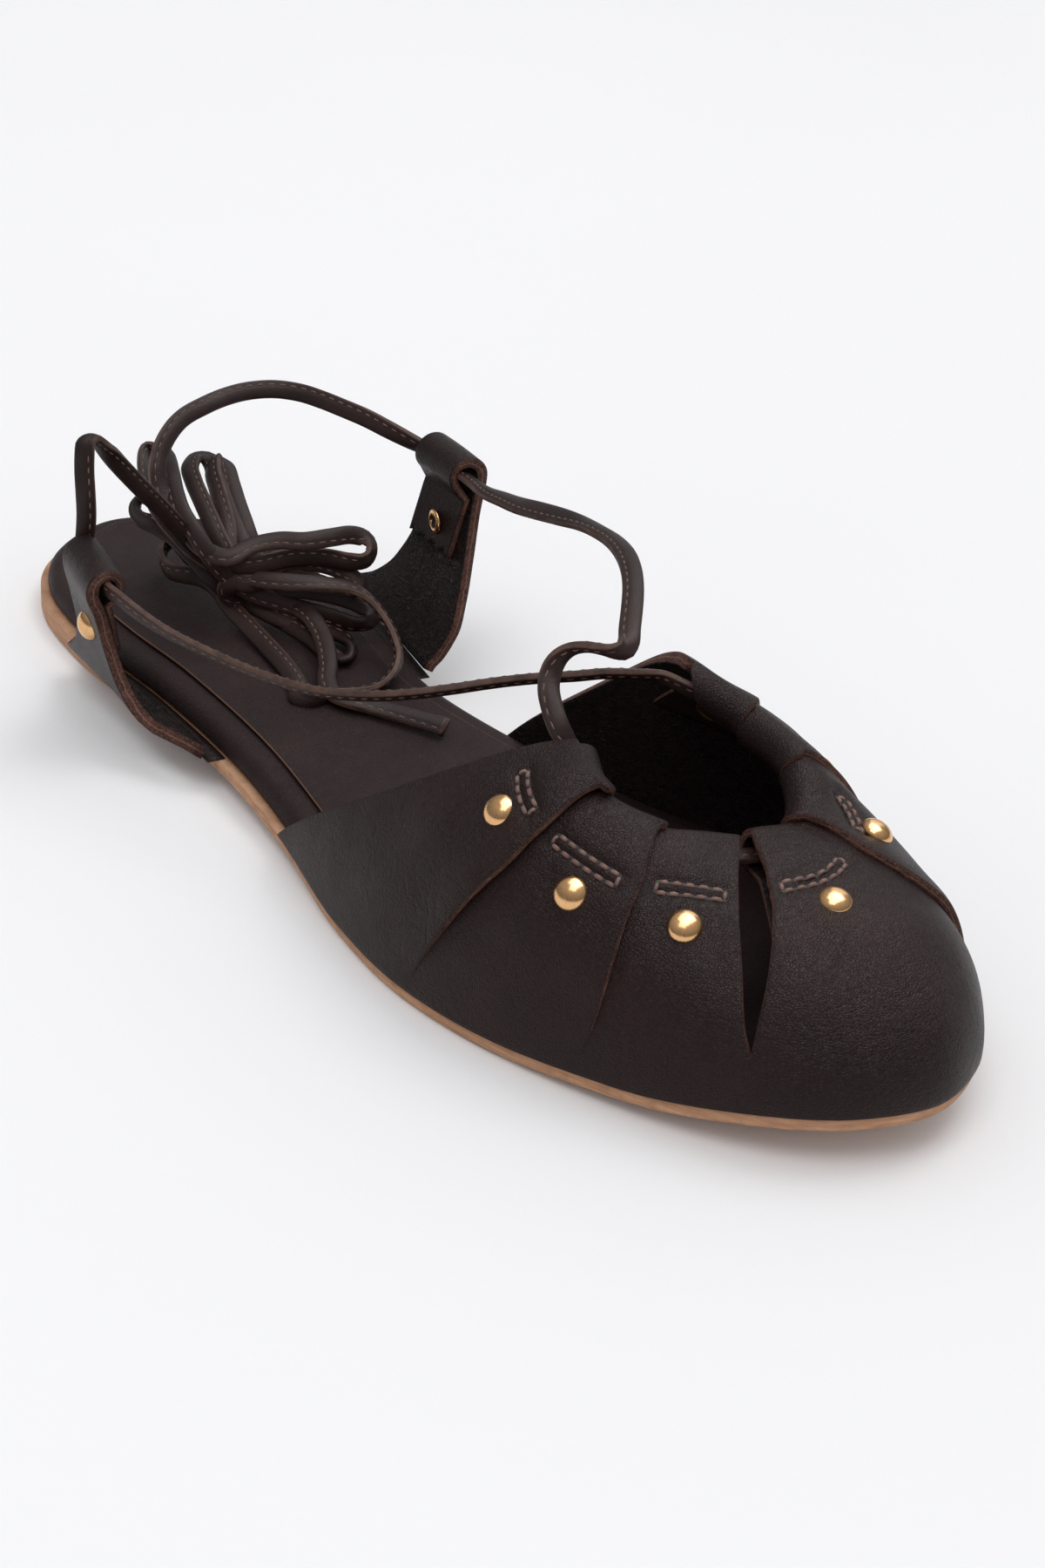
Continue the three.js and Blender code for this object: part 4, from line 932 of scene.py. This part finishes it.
# %% Layers from rings
around = np.linspace(0, 1, 360, endpoint=False)
spine = outline(around)
spine = np.stack([np.clip(spine[:, 0], 30, 205), np.zeros(len(around))], -1)
spine[:, 1] = (outline(outline_share(-1, spine[:, 0]))[:, 1] + outline(outline_share(1, spine[:, 0]))[:, 1]) / 2


def layer(profile, top_height, inner_rings=18):
    """Rings from a profile of (out, height above the floor of the layer, base), then rings to the spine."""
    rings = []
    for out, height, base in profile:
        flat = outline(around, out)
        rings.append(np.c_[flat, base(np.clip(flat[:, 0], 0, sole_length)) + height])
    last_out = profile[-1][0]
    edge = outline(around, last_out)
    for t in np.linspace(0, 1, inner_rings + 1)[1:]:
        flat = edge + (spine - edge) * t
        rings.append(np.c_[flat, top_height(flat)])
    return np.array(rings)


def quarter(start_out, start_z, end_out, end_z, steps, turn):
    """Points of a quarter ellipse between two corners; turn says which of the two leaves upright."""
    t = np.linspace(0, np.pi / 2, steps)
    slow, fast = 1 - np.cos(t), np.sin(t)
    out, up = (slow, fast) if turn else (fast, slow)
    return list(zip(start_out + (end_out - start_out) * out, start_z + (end_z - start_z) * up))


def foot_dents(flat):
    """Soft hollows where heel and ball press, in millimetres."""
    hollows = ((30, 1, 24, 20, 0.7), (172, 4, 30, 26, 0.5), (215, 14, 10, 8, 0.25), (60, 2, 6, 14, 0.2))
    return -sum(d * np.exp(-(((flat[:, 0] - x) / a) ** 2) - ((flat[:, 1] - y) / b) ** 2) for x, y, a, b, d in hollows)


def on_base(points, base):
    """Gives each (out, height) of a profile the surface that its height is counted from."""
    return [(out, z, base) for out, z in points]


def footbed_floor(x):
    return outsole_top(x) + seam


def sock_floor(x):
    return footbed_top(x) + seam


def build_layer(name, rings, marks=None):
    return tidy_shell(make_piece(name, rings, [grid_faces(*rings.shape[:2], close_cols=True)], marks))


# %% [markdown]
# ## The layers themselves
#
# Wrapped board, thin sock and sole differ only in the profile of their side and in what their top follows.
# So each is a short list of corners, rounded as its maker rounds them: wrapped, cut or rubbed down.

# %% The three layers
margin, wrap_round = footbed_margin, 3
side = [(-margin - 6, 0.0), (-margin - 0.5, 0.0), (-margin, 0.4)]
side += quarter(-margin, 0.7, -margin - wrap_round, footbed_ply, 9, True)
footbed = build_layer("footbed_wrap", layer(on_base(side, footbed_floor), lambda flat: footbed_top(flat[:, 0])))

inset, ply = sock_inset, sock_ply
side = [(-inset - 3, 0.0), (-inset, 0.0), (-inset, 0.25), (-inset, ply - 0.25)]
side += [(-inset - 0.06, ply - 0.06), (-inset - 0.22, ply)]
rings = layer(on_base(side, sock_floor), lambda flat: sock_floor(flat[:, 0]) + ply + foot_dents(flat), 40)
cut = np.zeros(rings.shape[:2])
cut[3:5] = 1
sock = build_layer("insole_sock", rings, {"cut": cut})

foot_in = -1.2
side = on_base([(foot_in, 0.0)] + quarter(foot_in, 0.0, 0.0, 0.9, 5, False), ground)
side += on_base([(0.0, -0.25), (-0.08, -0.08), (-0.3, 0.0)], outsole_top)
rings = layer(side, lambda flat: outsole_top(flat[:, 0]))
under = outline(around, foot_in)
inwards = [under + (spine - under) * t for t in np.linspace(1, 0, 12)[:-1]]
bottom = np.array([np.c_[flat, ground(flat[:, 0])] for flat in inwards])
outsole = build_layer("sole_leather_layer", np.concatenate([bottom, rings]))

layers = (footbed, "footbed", "insole_leather"), (sock, "sock", "insole_leather"), (outsole, "outsole", "sole_leather")
for piece, name, slot in layers:
    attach(piece, "root")
    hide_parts(name)
print("layers", [len(piece.data.polygons) for piece in (footbed, sock, outsole)])

# %% [markdown]
# ## Rivets
#
# A rivet is a smooth domed cap outside and a small rolled washer inside, with the leather pressed between
# them. Both are turned parts, so each is a profile spun about its axis. A sphere cut in half would do for
# the dome, but a profile also gives the skirt that sinks into the leather.

# %% Rivets
def lathe(seat, axis, profile, steps=28):
    """Rings of a (radius, height) profile spun about an axis from a seat; the last point is the pole."""
    axis = unit(np.asarray(axis, float))
    side = unit(np.cross(axis, (0.0, 0.0, 1.0)))
    other = np.cross(axis, side)
    turn = np.linspace(0, 2 * np.pi, steps, endpoint=False)
    circle = side * np.cos(turn)[:, None] + other * np.sin(turn)[:, None]
    radius, height = np.asarray(profile, float).T[:, :, None, None]
    return seat + circle * radius + axis * height


cap_radius, cap_height, cap_sink = 2.9, 2.0, 0.45
cap_turn = np.linspace(0, np.pi / 2, 11)
dome = [(0.5, -1.2), (2.4, -0.5), (2.8, -0.2), *zip(cap_radius * np.cos(cap_turn), cap_height * np.sin(cap_turn))]
dome[-1] = (0.001, cap_height)
washer = [
    (1.0, -0.4), (2.4, -0.3), (2.6, 0.0), (2.55, 0.25), (2.3, 0.42), (1.7, 0.5), (1.3, 0.42), (1.1, 0.2),
    (1.0, -0.2), (0.9, -0.6), (0.001, -0.6),
]
seats = [(seat, normal, upper_wall + 1.3 + 0.3) for seat, normal in rivet_seats]
for wing in wings.values():
    seat, inside = (wing_point(wing, *wing["rivet"], inward=inward) for inward in (0.0, 1.0))
    seats.append((seat, unit(seat - inside), wing_wall + 1.5 + 0.2))
points, faces, first = [], [], 0
for seat, axis, grip in seats:
    for rings in (lathe(seat - axis * cap_sink, axis, dome), lathe(seat - axis * grip, -axis, washer)):
        points.append(rings.reshape(-1, 3))
        faces.append(grid_faces(*rings.shape[:2], close_cols=True, first=first))
        first += rings[..., 0].size
rivets = make_piece("rivet_caps", np.concatenate(points), faces)
tidy_shell(rivets)
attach(rivets, "root")
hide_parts(*[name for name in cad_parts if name.startswith("rivet")])
print("rivets", len(seats))

# %% [markdown]
# ## The sewn boxes
#
# Under the lace each tab is sewn to its flap with thick thread, in a narrow box. A dashed texture would lie
# flat, so each stitch is a short tube that dives into the leather at both ends. Where it dives in, a small cap
# coloured near black is painted shade for the pricked hole.
# The places are read from the finished face, because the stitches must follow its hollows.


# %% Box stitches
box_pitch, box_thread, box_dive, hole_radius, hole_rise = 2.1, 0.37, 0.3, 0.42, 0.12


def on_tab(tab, s, up):
    """Point of a tab's finished grain side at (s, up), read between its grid points."""
    low = slit_edge(tab, "front", up) if tab > 0 else 0.0
    high = slit_edge(tab + 1, "rear", up) if tab < last_tab else tab_count
    row = np.interp(up, row_up, np.arange(face_rows))
    column = np.interp((s - low) / (high - low), across, np.arange(tab_cols))
    r, c = min(int(row), face_rows - 2), min(int(column), tab_cols - 2)
    near, far = tab_faces[tab][r:r + 2, c:c + 2].swapaxes(0, 1)
    near, far = (side[0] * (1 - (row - r)) + side[1] * (row - r) for side in (near, far))
    return near * (1 - (column - c)) + far * (column - c)


starts, ends, outs = [], [], []
for tab, box in enumerate(sewn_boxes):
    corners = sewn_corners(box)
    for (s0, up0), (s1, up1) in zip(corners, corners[1:] + corners[:1]):
        count = max(1, round(np.linalg.norm(vamp(s1, up1) - vamp(s0, up0)) / box_pitch))
        for k in range(count):
            (a, up_a), (m, up_m), (b, up_b) = (
                (s0 + (s1 - s0) * t, up0 + (up1 - up0) * t) for t in (np.array([0.1, 0.5, 0.9]) + k) / count
            )
            starts.append(on_tab(tab, a, up_a))
            ends.append(on_tab(tab, b, up_b))
            outs.append(vamp_normal(m, up_m))


def hole_shade_caps(places, normals, radius):
    """Painted shade of the hole where each stitch dives in: a small flat six-sided cap just above the leather, coloured
    near black.
    """
    places, normals = np.asarray(places), np.asarray(normals)
    side = unit(np.cross(normals, (0.0, 0.0, 1.0)))
    other = np.cross(normals, side)
    turn = np.arange(6) * np.pi / 3
    circle = side[:, None] * np.cos(turn)[:, None] + other[:, None] * np.sin(turn)[:, None]
    points = np.concatenate([places[:, None] + radius * circle, (places + normals * hole_rise)[:, None]], 1)
    j = np.arange(6)
    fan = np.stack([j, (j + 1) % 6, np.full(6, 6)], -1)
    faces = (np.arange(len(places)) * 7)[:, None, None] + fan
    return points.reshape(-1, 3), faces.reshape(-1, 3)


thread_points, thread_faces = stitches(starts, ends, outs, box_thread, dive=box_dive, sides=8)
hole_points, hole_faces = hole_shade_caps(starts + ends, outs + outs, hole_radius)
# painted shade: a mark of 1 on the near-black caps that stand for the shade in the stitch holes
painted_hole_shade = np.r_[np.zeros(len(thread_points)), np.ones(len(hole_points))]
points, faces = np.vstack([thread_points, hole_points]), [thread_faces, hole_faces + len(thread_points)]
thread = make_piece("box_stitches", points, faces, {"painted_hole_shade": painted_hole_shade})
tidy_shell(thread)
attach(thread, "root")
print("box stitches", len(starts))

# %% [markdown]
# ## Materials
#
# Leather shows its age in three ways: a fine grain of small cells, soft creases where it bends, and edges
# that are rubbed lighter. These effects are needed on several pieces, so each is a node group, and the
# materials only decide how strongly to use it.


# %% Node helpers
def group(name, outputs, build):
    """Node group without inputs; build receives the tree and returns one socket for each named output."""
    tree = bpy.data.node_groups.new(name, "ShaderNodeTree")
    for output in outputs:
        tree.interface.new_socket(output, in_out="OUTPUT", socket_type="NodeSocketFloat")
    end = tree.nodes.new("NodeGroupOutput")
    for socket, made in zip(end.inputs, build(tree)):
        tree.links.new(made, socket)
    return tree


def node(tree, kind, inputs=None, **settings):
    """Adds a node; inputs are numbers, colours or sockets to link, by socket name or number."""
    made = tree.nodes.new(kind)
    for key, value in settings.items():
        setattr(made, key, value)
    for key, value in (inputs or {}).items():
        socket = made.inputs[key]
        if isinstance(value, bpy.types.NodeSocket):
            tree.links.new(value, socket)
        else:
            socket.default_value = value
    return made


def math_node(tree, operation, *values, clamp=False):
    return node(tree, "ShaderNodeMath", dict(enumerate(values)), operation=operation, use_clamp=clamp).outputs[0]


def weighed(tree, a, weight_a, b, weight_b):
    """Two heights added, each times its weight."""
    first = math_node(tree, "MULTIPLY", a, weight_a)
    return math_node(tree, "ADD", first, math_node(tree, "MULTIPLY", b, weight_b))


def from_middle(tree, value, middle=0.5):
    """Distance of a value from its middle: a noise folded so that its middle becomes a line."""
    return math_node(tree, "ABSOLUTE", math_node(tree, "SUBTRACT", value, middle))


def object_place(tree):
    return node(tree, "ShaderNodeTexCoord").outputs["Object"]


def noise(tree, place, scale, detail=3.0, rough=0.5, distortion=0.0):
    values = {"Vector": place, "Scale": scale, "Detail": detail, "Roughness": rough, "Distortion": distortion}
    return node(tree, "ShaderNodeTexNoise", values).outputs["Fac"]


def band(tree, value, low, high, to_low=0.0, to_high=1.0):
    """Maps low..high to to_low..to_high and stays there outside."""
    values = {"Value": value, "From Min": low, "From Max": high, "To Min": to_low, "To Max": to_high}
    return node(tree, "ShaderNodeMapRange", values).outputs["Result"]


def stretched(tree, place, scale, turn=(0, 0, 0)):
    return node(tree, "ShaderNodeMapping", {"Vector": place, "Scale": scale, "Rotation": turn}).outputs["Vector"]


# %% [markdown]
# ## Grain, creases and cut fibre
#
# Smooth leather is covered with cells a third of a millimetre wide, which a Voronoi texture gives, bent by a
# noise so that they lose their regular look. Creases are the lines where a noise passes its middle. Cut
# leather shows fine fibres. All three read the object's own coordinates, so one grain runs over every part.


# %% Effects shared by the leathers
def build_grain(tree):
    """Small cells, pores and a soft unevenness: height for the bump, and a tone from a wider noise of its own."""
    place = object_place(tree)
    warp = node(tree, "ShaderNodeTexNoise", {"Vector": place, "Scale": 900.0, "Detail": 2.0}).outputs["Color"]
    reach = (0.0006, 0.0006, 0.0006)
    bent = node(tree, "ShaderNodeVectorMath", {0: warp, 1: reach}, operation="MULTIPLY").outputs[0]
    moved = node(tree, "ShaderNodeVectorMath", {0: place, 1: bent}, operation="ADD").outputs[0]
    cells = node(tree, "ShaderNodeTexVoronoi", {"Vector": moved, "Scale": 2100.0}, feature="DISTANCE_TO_EDGE")
    cell_height = band(tree, cells.outputs["Distance"], 0.0, 0.25)
    height = weighed(tree, cell_height, 0.6, noise(tree, place, 2600.0, 3.0, 0.6), 0.4)
    return height, noise(tree, place, 130.0, 4.0, 0.55), noise(tree, place, 45.0, 5.0, 0.6)


def build_creases(tree):
    """Thin wandering creases: the valleys of two warped noises, strongest in patches."""
    place = object_place(tree)
    first = noise(tree, stretched(tree, place, (1.0, 0.5, 0.8), (0.2, 0.1, 0.5)), 160.0, 2.0, 0.5, 0.6)
    second = noise(tree, stretched(tree, place, (0.6, 1.0, 1.0), (0.1, 0.3, -0.6)), 330.0, 2.0, 0.5, 0.8)
    valley = band(tree, from_middle(tree, first), 0.0, 0.05)
    small = band(tree, from_middle(tree, second), 0.0, 0.07)
    patch = band(tree, noise(tree, place, 28.0, 2.0), 0.45, 0.65)
    sunk = math_node(tree, "SUBTRACT", 1.0, weighed(tree, valley, 0.6, small, 0.4))
    return (math_node(tree, "SUBTRACT", 1.0, math_node(tree, "MULTIPLY", patch, sunk)),)


def build_fibre(tree):
    """Cut leather and thread: fine fibres, and blotches a few millimetres wide."""
    place = object_place(tree)
    return noise(tree, place, 2200.0, 4.0, 0.7, 0.4), noise(tree, place, 420.0, 3.0, 0.6)


grain_group = group("leather grain", ("Height", "Soft", "Tone"), build_grain)
crease_group = group("leather creases", ("Height",), build_creases)
fibre_group = group("cut fibre", ("Hair", "Blotch"), build_fibre)
print("shared effects", [tree.name for tree in (grain_group, crease_group, fibre_group)])


# %% [markdown]
# ## What the materials have in common
#
# Every leather here starts from the same steps: a place on the object, a colour between two tones, and a
# roughness and bump on top. These helpers are those steps, so each material below says only what differs.

# %% Material helpers
def use(tree, made):
    return node(tree, "ShaderNodeGroup", node_tree=made).outputs


def mix(tree, factor, a, b):
    """Colour a where factor is 0 and b where it is 1."""
    return node(tree, "ShaderNodeMix", {0: factor, 6: a, 7: b}, data_type="RGBA").outputs[2]


def linear(r, g, b):
    """Screen values 0..255 to the linear colour of a shader."""
    screen = np.array([r, g, b]) / 255
    return (*np.where(screen <= 0.0404, screen / 12.92, ((screen + 0.055) / 1.055) ** 2.4).tolist(), 1.0)


def new_material(name):
    material = bpy.data.materials.new(name)
    material.use_nodes = True
    tree = material.node_tree
    return material, tree, tree.nodes["Principled BSDF"]


def bump(tree, shader, layers):
    """Chains bumps of (height socket, strength, distance in metres) into the shader's normal."""
    normal = None
    for height, strength, distance in layers:
        made = node(tree, "ShaderNodeBump", {"Height": height, "Strength": strength, "Distance": distance})
        if normal is not None:
            tree.links.new(normal, made.inputs["Normal"])
        normal = made.outputs["Normal"]
    tree.links.new(normal, shader.inputs["Normal"])


# %% [markdown]
# ## The dark leather
#
# The upper's leather has three faces: a satin grain side, a rubbed reddish cut edge and a creased flesh
# side. Three materials would need the faces sorted. One material with a mark that runs from 0 on the grain
# over 1 on the edge to 2 on the flesh side lets the colours meet in a soft line, as they do on real leather.


# %% Dark leather of the upper
def attribute(tree, name):
    return node(tree, "ShaderNodeAttribute", attribute_name=name).outputs["Fac"]


def cut_colour(tree, side):
    """Reddish brown in blotches, with light and dark fibres, and a pale line where the two plies meet."""
    hair, blotch = use(tree, fibre_group)
    plies = from_middle(tree, math_node(tree, "ADD", side, band(tree, blotch, 0.2, 0.8, -0.07, 0.07)), 1.0)
    cut = mix(tree, band(tree, blotch, 0.3, 0.7), linear(62, 38, 32), linear(98, 64, 54))
    cut = mix(tree, band(tree, hair, 0.52, 0.66, 0.0, 0.75), cut, linear(124, 92, 79))
    cut = mix(tree, band(tree, hair, 0.46, 0.34, 0.0, 0.7), cut, linear(32, 20, 18))
    cut = mix(tree, band(tree, plies, 0.05, 0.01, 0.0, 0.55), cut, linear(150, 112, 98))
    return cut, mix(tree, band(tree, blotch, 0.35, 0.7), linear(22, 14, 14), linear(38, 25, 24)), hair


def upper_material():
    """Grain side dark and satin, with painted shade in its grooves and creases; cut edge reddish and matte, flesh side
    near black and creased.
    """
    material, tree, shader = new_material("dark upper leather")
    height, soft, tone = use(tree, grain_group)
    crease = use(tree, crease_group)[0]
    side = attribute(tree, "side")
    flesh = band(tree, side, 1.35, 1.65)
    raw = math_node(tree, "SUBTRACT", band(tree, side, 0.35, 0.65), flesh)
    cut, inner, hair = cut_colour(tree, side)
    skin = mix(tree, band(tree, tone, 0.35, 0.7), linear(27, 14, 13), linear(38, 21, 19))
    # painted shade: near black in the grain's low grooves, and darker in the valleys of the creases
    skin = mix(tree, band(tree, height, 0.55, 0.15, 0.0, 0.55), skin, linear(14, 8, 8))
    skin = mix(tree, band(tree, crease, 0.9, 0.3, 0.0, 0.2), skin, linear(20, 13, 13))
    colour = mix(tree, flesh, mix(tree, raw, skin, cut), inner)
    tree.links.new(colour, shader.inputs["Base Color"])
    worn = math_node(tree, "SUBTRACT", math_node(tree, "MULTIPLY", raw, 0.35), math_node(tree, "MULTIPLY", flesh, 0.12))
    gloss = math_node(tree, "ADD", band(tree, soft, 0.3, 0.7, 0.36, 0.46), worn, clamp=True)
    tree.links.new(gloss, shader.inputs["Roughness"])
    shader.inputs["Specular IOR Level"].default_value = 0.22
    shader.inputs["Specular Tint"].default_value = (1.0, 0.90, 0.89, 1.0)
    crinkle = from_middle(tree, noise(tree, stretched(tree, object_place(tree), (0.6, 1, 2)), 620.0, 3.0, 0.6, 1.2))
    creased = math_node(tree, "MULTIPLY", flesh, math_node(tree, "MULTIPLY", crinkle, 2.5))
    lined = math_node(tree, "ADD", creased, math_node(tree, "MULTIPLY", crease, 0.1))
    frayed = math_node(tree, "MULTIPLY", hair, band(tree, raw, 0.0, 1.0, 0.15, 1.0))
    bump(tree, shader, [(soft, 0.3, 0.0005), (lined, 1.0, 0.0011), (height, 1.0, 0.00011), (frayed, 0.9, 0.0006)])
    print("dark leather", len(tree.nodes), "nodes")
    return material


# %% [markdown]
# ## Insole, lace, thread, sole and rivets
#
# The footbed's leather is softer and browner than the upper's, and the lace is rubbed on its sewn edge. They
# use the same grain with less depth. The sole is plain cut leather, so its pattern is only faint layers, and
# the rivets are metal with fine scratches, which a noise stretched in one direction gives.


# %% Softer leathers, sole and metal
def insole_material(name, marked):
    """Softer, browner leather of the footbed; the sock's cut edge is a thin light line."""
    material, tree, shader = new_material(name)
    height, soft, tone = use(tree, grain_group)
    crease = use(tree, crease_group)[0]
    skin = mix(tree, band(tree, tone, 0.35, 0.7), linear(34, 22, 22), linear(46, 32, 31))
    skin = mix(tree, band(tree, crease, 0.9, 0.3, 0.0, 0.3), skin, linear(38, 27, 27))
    if marked:
        skin = mix(tree, band(tree, attribute(tree, "cut"), 0.4, 0.6), skin, linear(112, 82, 66))
    tree.links.new(skin, shader.inputs["Base Color"])
    tree.links.new(band(tree, soft, 0.3, 0.7, 0.46, 0.6), shader.inputs["Roughness"])
    shader.inputs["Specular IOR Level"].default_value = 0.16
    shader.inputs["Specular Tint"].default_value = (1.0, 0.92, 0.91, 1.0)
    bump(tree, shader, [(soft, 0.3, 0.0006), (crease, 0.2, 0.0003), (height, 1.0, 0.0001)])
    return material


def lace_material():
    """Folded strip: brown satin leather, a rubbed cut edge, and light thread."""
    material, tree, shader = new_material("brown lace leather")
    height, soft, tone = use(tree, grain_group)
    hair, blotch = use(tree, fibre_group)
    skin = mix(tree, band(tree, tone, 0.35, 0.7), linear(34, 22, 20), linear(52, 36, 33))
    cut = mix(tree, band(tree, blotch, 0.3, 0.7), linear(60, 42, 36), linear(90, 66, 56))
    colour = mix(tree, attribute(tree, "raw"), skin, cut)
    thread = attribute(tree, "thread")
    waxed = mix(tree, band(tree, hair, 0.3, 0.7), linear(92, 70, 60), linear(120, 96, 82))
    tree.links.new(mix(tree, thread, colour, waxed), shader.inputs["Base Color"])
    gloss = math_node(tree, "ADD", band(tree, soft, 0.3, 0.7, 0.42, 0.55), math_node(tree, "MULTIPLY", thread, 0.2))
    tree.links.new(gloss, shader.inputs["Roughness"])
    shader.inputs["Specular IOR Level"].default_value = 0.22
    bump(tree, shader, [(soft, 0.2, 0.0005), (height, 0.7, 0.00005), (hair, 0.2, 0.00006)])
    return material


def thread_material():
    """Thick waxed thread in blotches of brown; the caps over the stitch holes are near black, painted shade of the
    holes.
    """
    material, tree, shader = new_material("waxed thread")
    hair, blotch = use(tree, fibre_group)
    colour = mix(tree, band(tree, blotch, 0.3, 0.7), linear(92, 66, 58), linear(122, 94, 84))
    # painted shade: the caps over the stitch holes go near black
    colour = mix(tree, attribute(tree, "painted_hole_shade"), colour, linear(14, 8, 8))
    tree.links.new(colour, shader.inputs["Base Color"])
    tree.links.new(band(tree, hair, 0.3, 0.7, 0.5, 0.7), shader.inputs["Roughness"])
    bump(tree, shader, [(hair, 0.5, 0.00015)])
    return material


def sole_material():
    """Tan sole leather: pale cut side with faint layers, darker in blotches."""
    material, tree, shader = new_material("tan sole leather")
    hair, blotch = use(tree, fibre_group)
    layers = noise(tree, stretched(tree, object_place(tree), (1, 1, 16)), 120.0, 4.0, 0.6)
    colour = mix(tree, band(tree, layers, 0.35, 0.65), linear(158, 112, 80), linear(186, 142, 108))
    colour = mix(tree, band(tree, blotch, 0.45, 0.75, 0.0, 0.4), colour, linear(112, 76, 56))
    tree.links.new(colour, shader.inputs["Base Color"])
    tree.links.new(band(tree, hair, 0.3, 0.7, 0.55, 0.75), shader.inputs["Roughness"])
    bump(tree, shader, [(layers, 0.3, 0.0003), (hair, 0.25, 0.0001)])
    return material


def rivet_material():
    """Satin pale gold with fine scratches."""
    material, tree, shader = new_material("satin pale gold")
    scratch = noise(tree, stretched(tree, object_place(tree), (1, 8, 1), (0, 0, 0.6)), 900.0, 3.0, 0.6)
    colour = mix(tree, band(tree, scratch, 0.35, 0.7), linear(222, 172, 120), linear(234, 190, 138))
    tree.links.new(colour, shader.inputs["Base Color"])
    shader.inputs["Metallic"].default_value = 1.0
    tree.links.new(band(tree, scratch, 0.3, 0.7, 0.17, 0.26), shader.inputs["Roughness"])
    bump(tree, shader, [(scratch, 0.12, 0.0001)])
    return material


dressed = {
    upper_material(): ("vamp_tabs", "wing_leather_lateral", "wing_leather_medial"),
    insole_material("dark wrapped leather", False): ("footbed_wrap",),
    insole_material("soft insole leather", True): ("insole_sock",),
    sole_material(): ("sole_leather_layer",),
    rivet_material(): ("rivet_caps",),
    thread_material(): ("box_stitches",),
    lace_material(): ("lace_inner_end", "lace_outer_end", "lace_held"),
}
for material, names in dressed.items():
    for name in names:
        bpy.data.objects[name].data.materials.clear()
        bpy.data.objects[name].data.materials.append(material)
print(len(dressed), "materials on", sum(map(len, dressed.values())), "pieces")

# %% [markdown]
# ## Floor and light
#
# The picture is a plain product shot: an almost white floor in soft light, with faint shadows. Two large
# softboxes, one behind and one in front, light it nearly evenly. Dark leather takes its form from what it
# mirrors, so two more lamps serve only glossy rays, and the sky is dimmer for those rays than for the rest.


# %% Floor, lamps and world
def floor_material():
    """Nearly white paper with a trace of unevenness."""
    material, tree, shader = new_material("pale floor")
    cloud = noise(tree, object_place(tree), 3.0, 2.0)
    paper = mix(tree, band(tree, cloud, 0.3, 0.7), linear(241, 241, 242), linear(244, 244, 245))
    tree.links.new(paper, shader.inputs["Base Color"])
    shader.inputs["Roughness"].default_value = 0.9
    shader.inputs["Specular IOR Level"].default_value = 0.1
    return material


reach, drop = 6000, -0.02
corners = [(-reach, -reach, drop), (reach, -reach, drop), (reach, reach, drop), (-reach, reach, drop)]
floor = make_piece("studio_floor", corners, [[(0, 1, 2, 3)]])
floor.data.materials.append(floor_material())


def lamp(name, place, size, power):
    """Square area light at a place in metres, turned to the shoe."""
    data = bpy.data.lights.new(name, "AREA")
    data.shape, data.size, data.energy = "SQUARE", size, power
    made = bpy.data.objects.new(name, data)
    bpy.context.scene.collection.objects.link(made)
    back = unit(np.array(place) - (0, 0, 0.02))
    right = unit(np.cross((0.0, 0.0, 1.0), back))
    matrix = np.eye(4)
    matrix[:3] = np.stack([right, np.cross(back, right), back, place], 1)
    made.matrix_world = Matrix(matrix.tolist())
    return made


lamp("softbox_behind", (0.0, 1.2, 2.6), 1.5, 15.5)
lamp("softbox_front", (0.55, -0.95, 2.6), 1.5, 17.0)
sheens = [lamp("sheen_above", (-0.1, 0.5, 2.4), 2.4, 48.0), lamp("sheen_behind", (-1.3, 2.2, 1.5), 2.0, 9.0)]
for sheen in sheens:
    sheen.visible_diffuse = False

# %% [markdown]
# ## The light all round
#
# Lamps alone leave the shaded sides black, but in a studio the walls and the ceiling send light back. So
# the world glows evenly. What the leather's sheen mirrors is darker near the floor and brighter overhead.

# %% The sky
sky_strength, sky_low, sky_high = 0.72, 0.14, 0.55
world = bpy.data.worlds.new("soft studio")
bpy.context.scene.world = world
world.use_nodes = True
sky = world.node_tree
direction = node(sky, "ShaderNodeTexCoord").outputs["Generated"]
height = node(sky, "ShaderNodeSeparateXYZ", {0: direction}).outputs["Z"]
mirrored = band(sky, math_node(sky, "MAXIMUM", height, 0.0), 0.0, 1.0, sky_low, sky_high)
glossy = node(sky, "ShaderNodeLightPath").outputs["Is Glossy Ray"]
change = math_node(sky, "MULTIPLY", glossy, math_node(sky, "SUBTRACT", mirrored, sky_strength))
strength = math_node(sky, "ADD", sky_strength, change)
sky.links.new(strength, sky.nodes["Background"].inputs["Strength"])
sky.nodes["Background"].inputs["Color"].default_value = (0.985, 0.985, 1.0, 1.0)
bpy.context.scene.view_settings.view_transform = "Standard"
print("stage set")
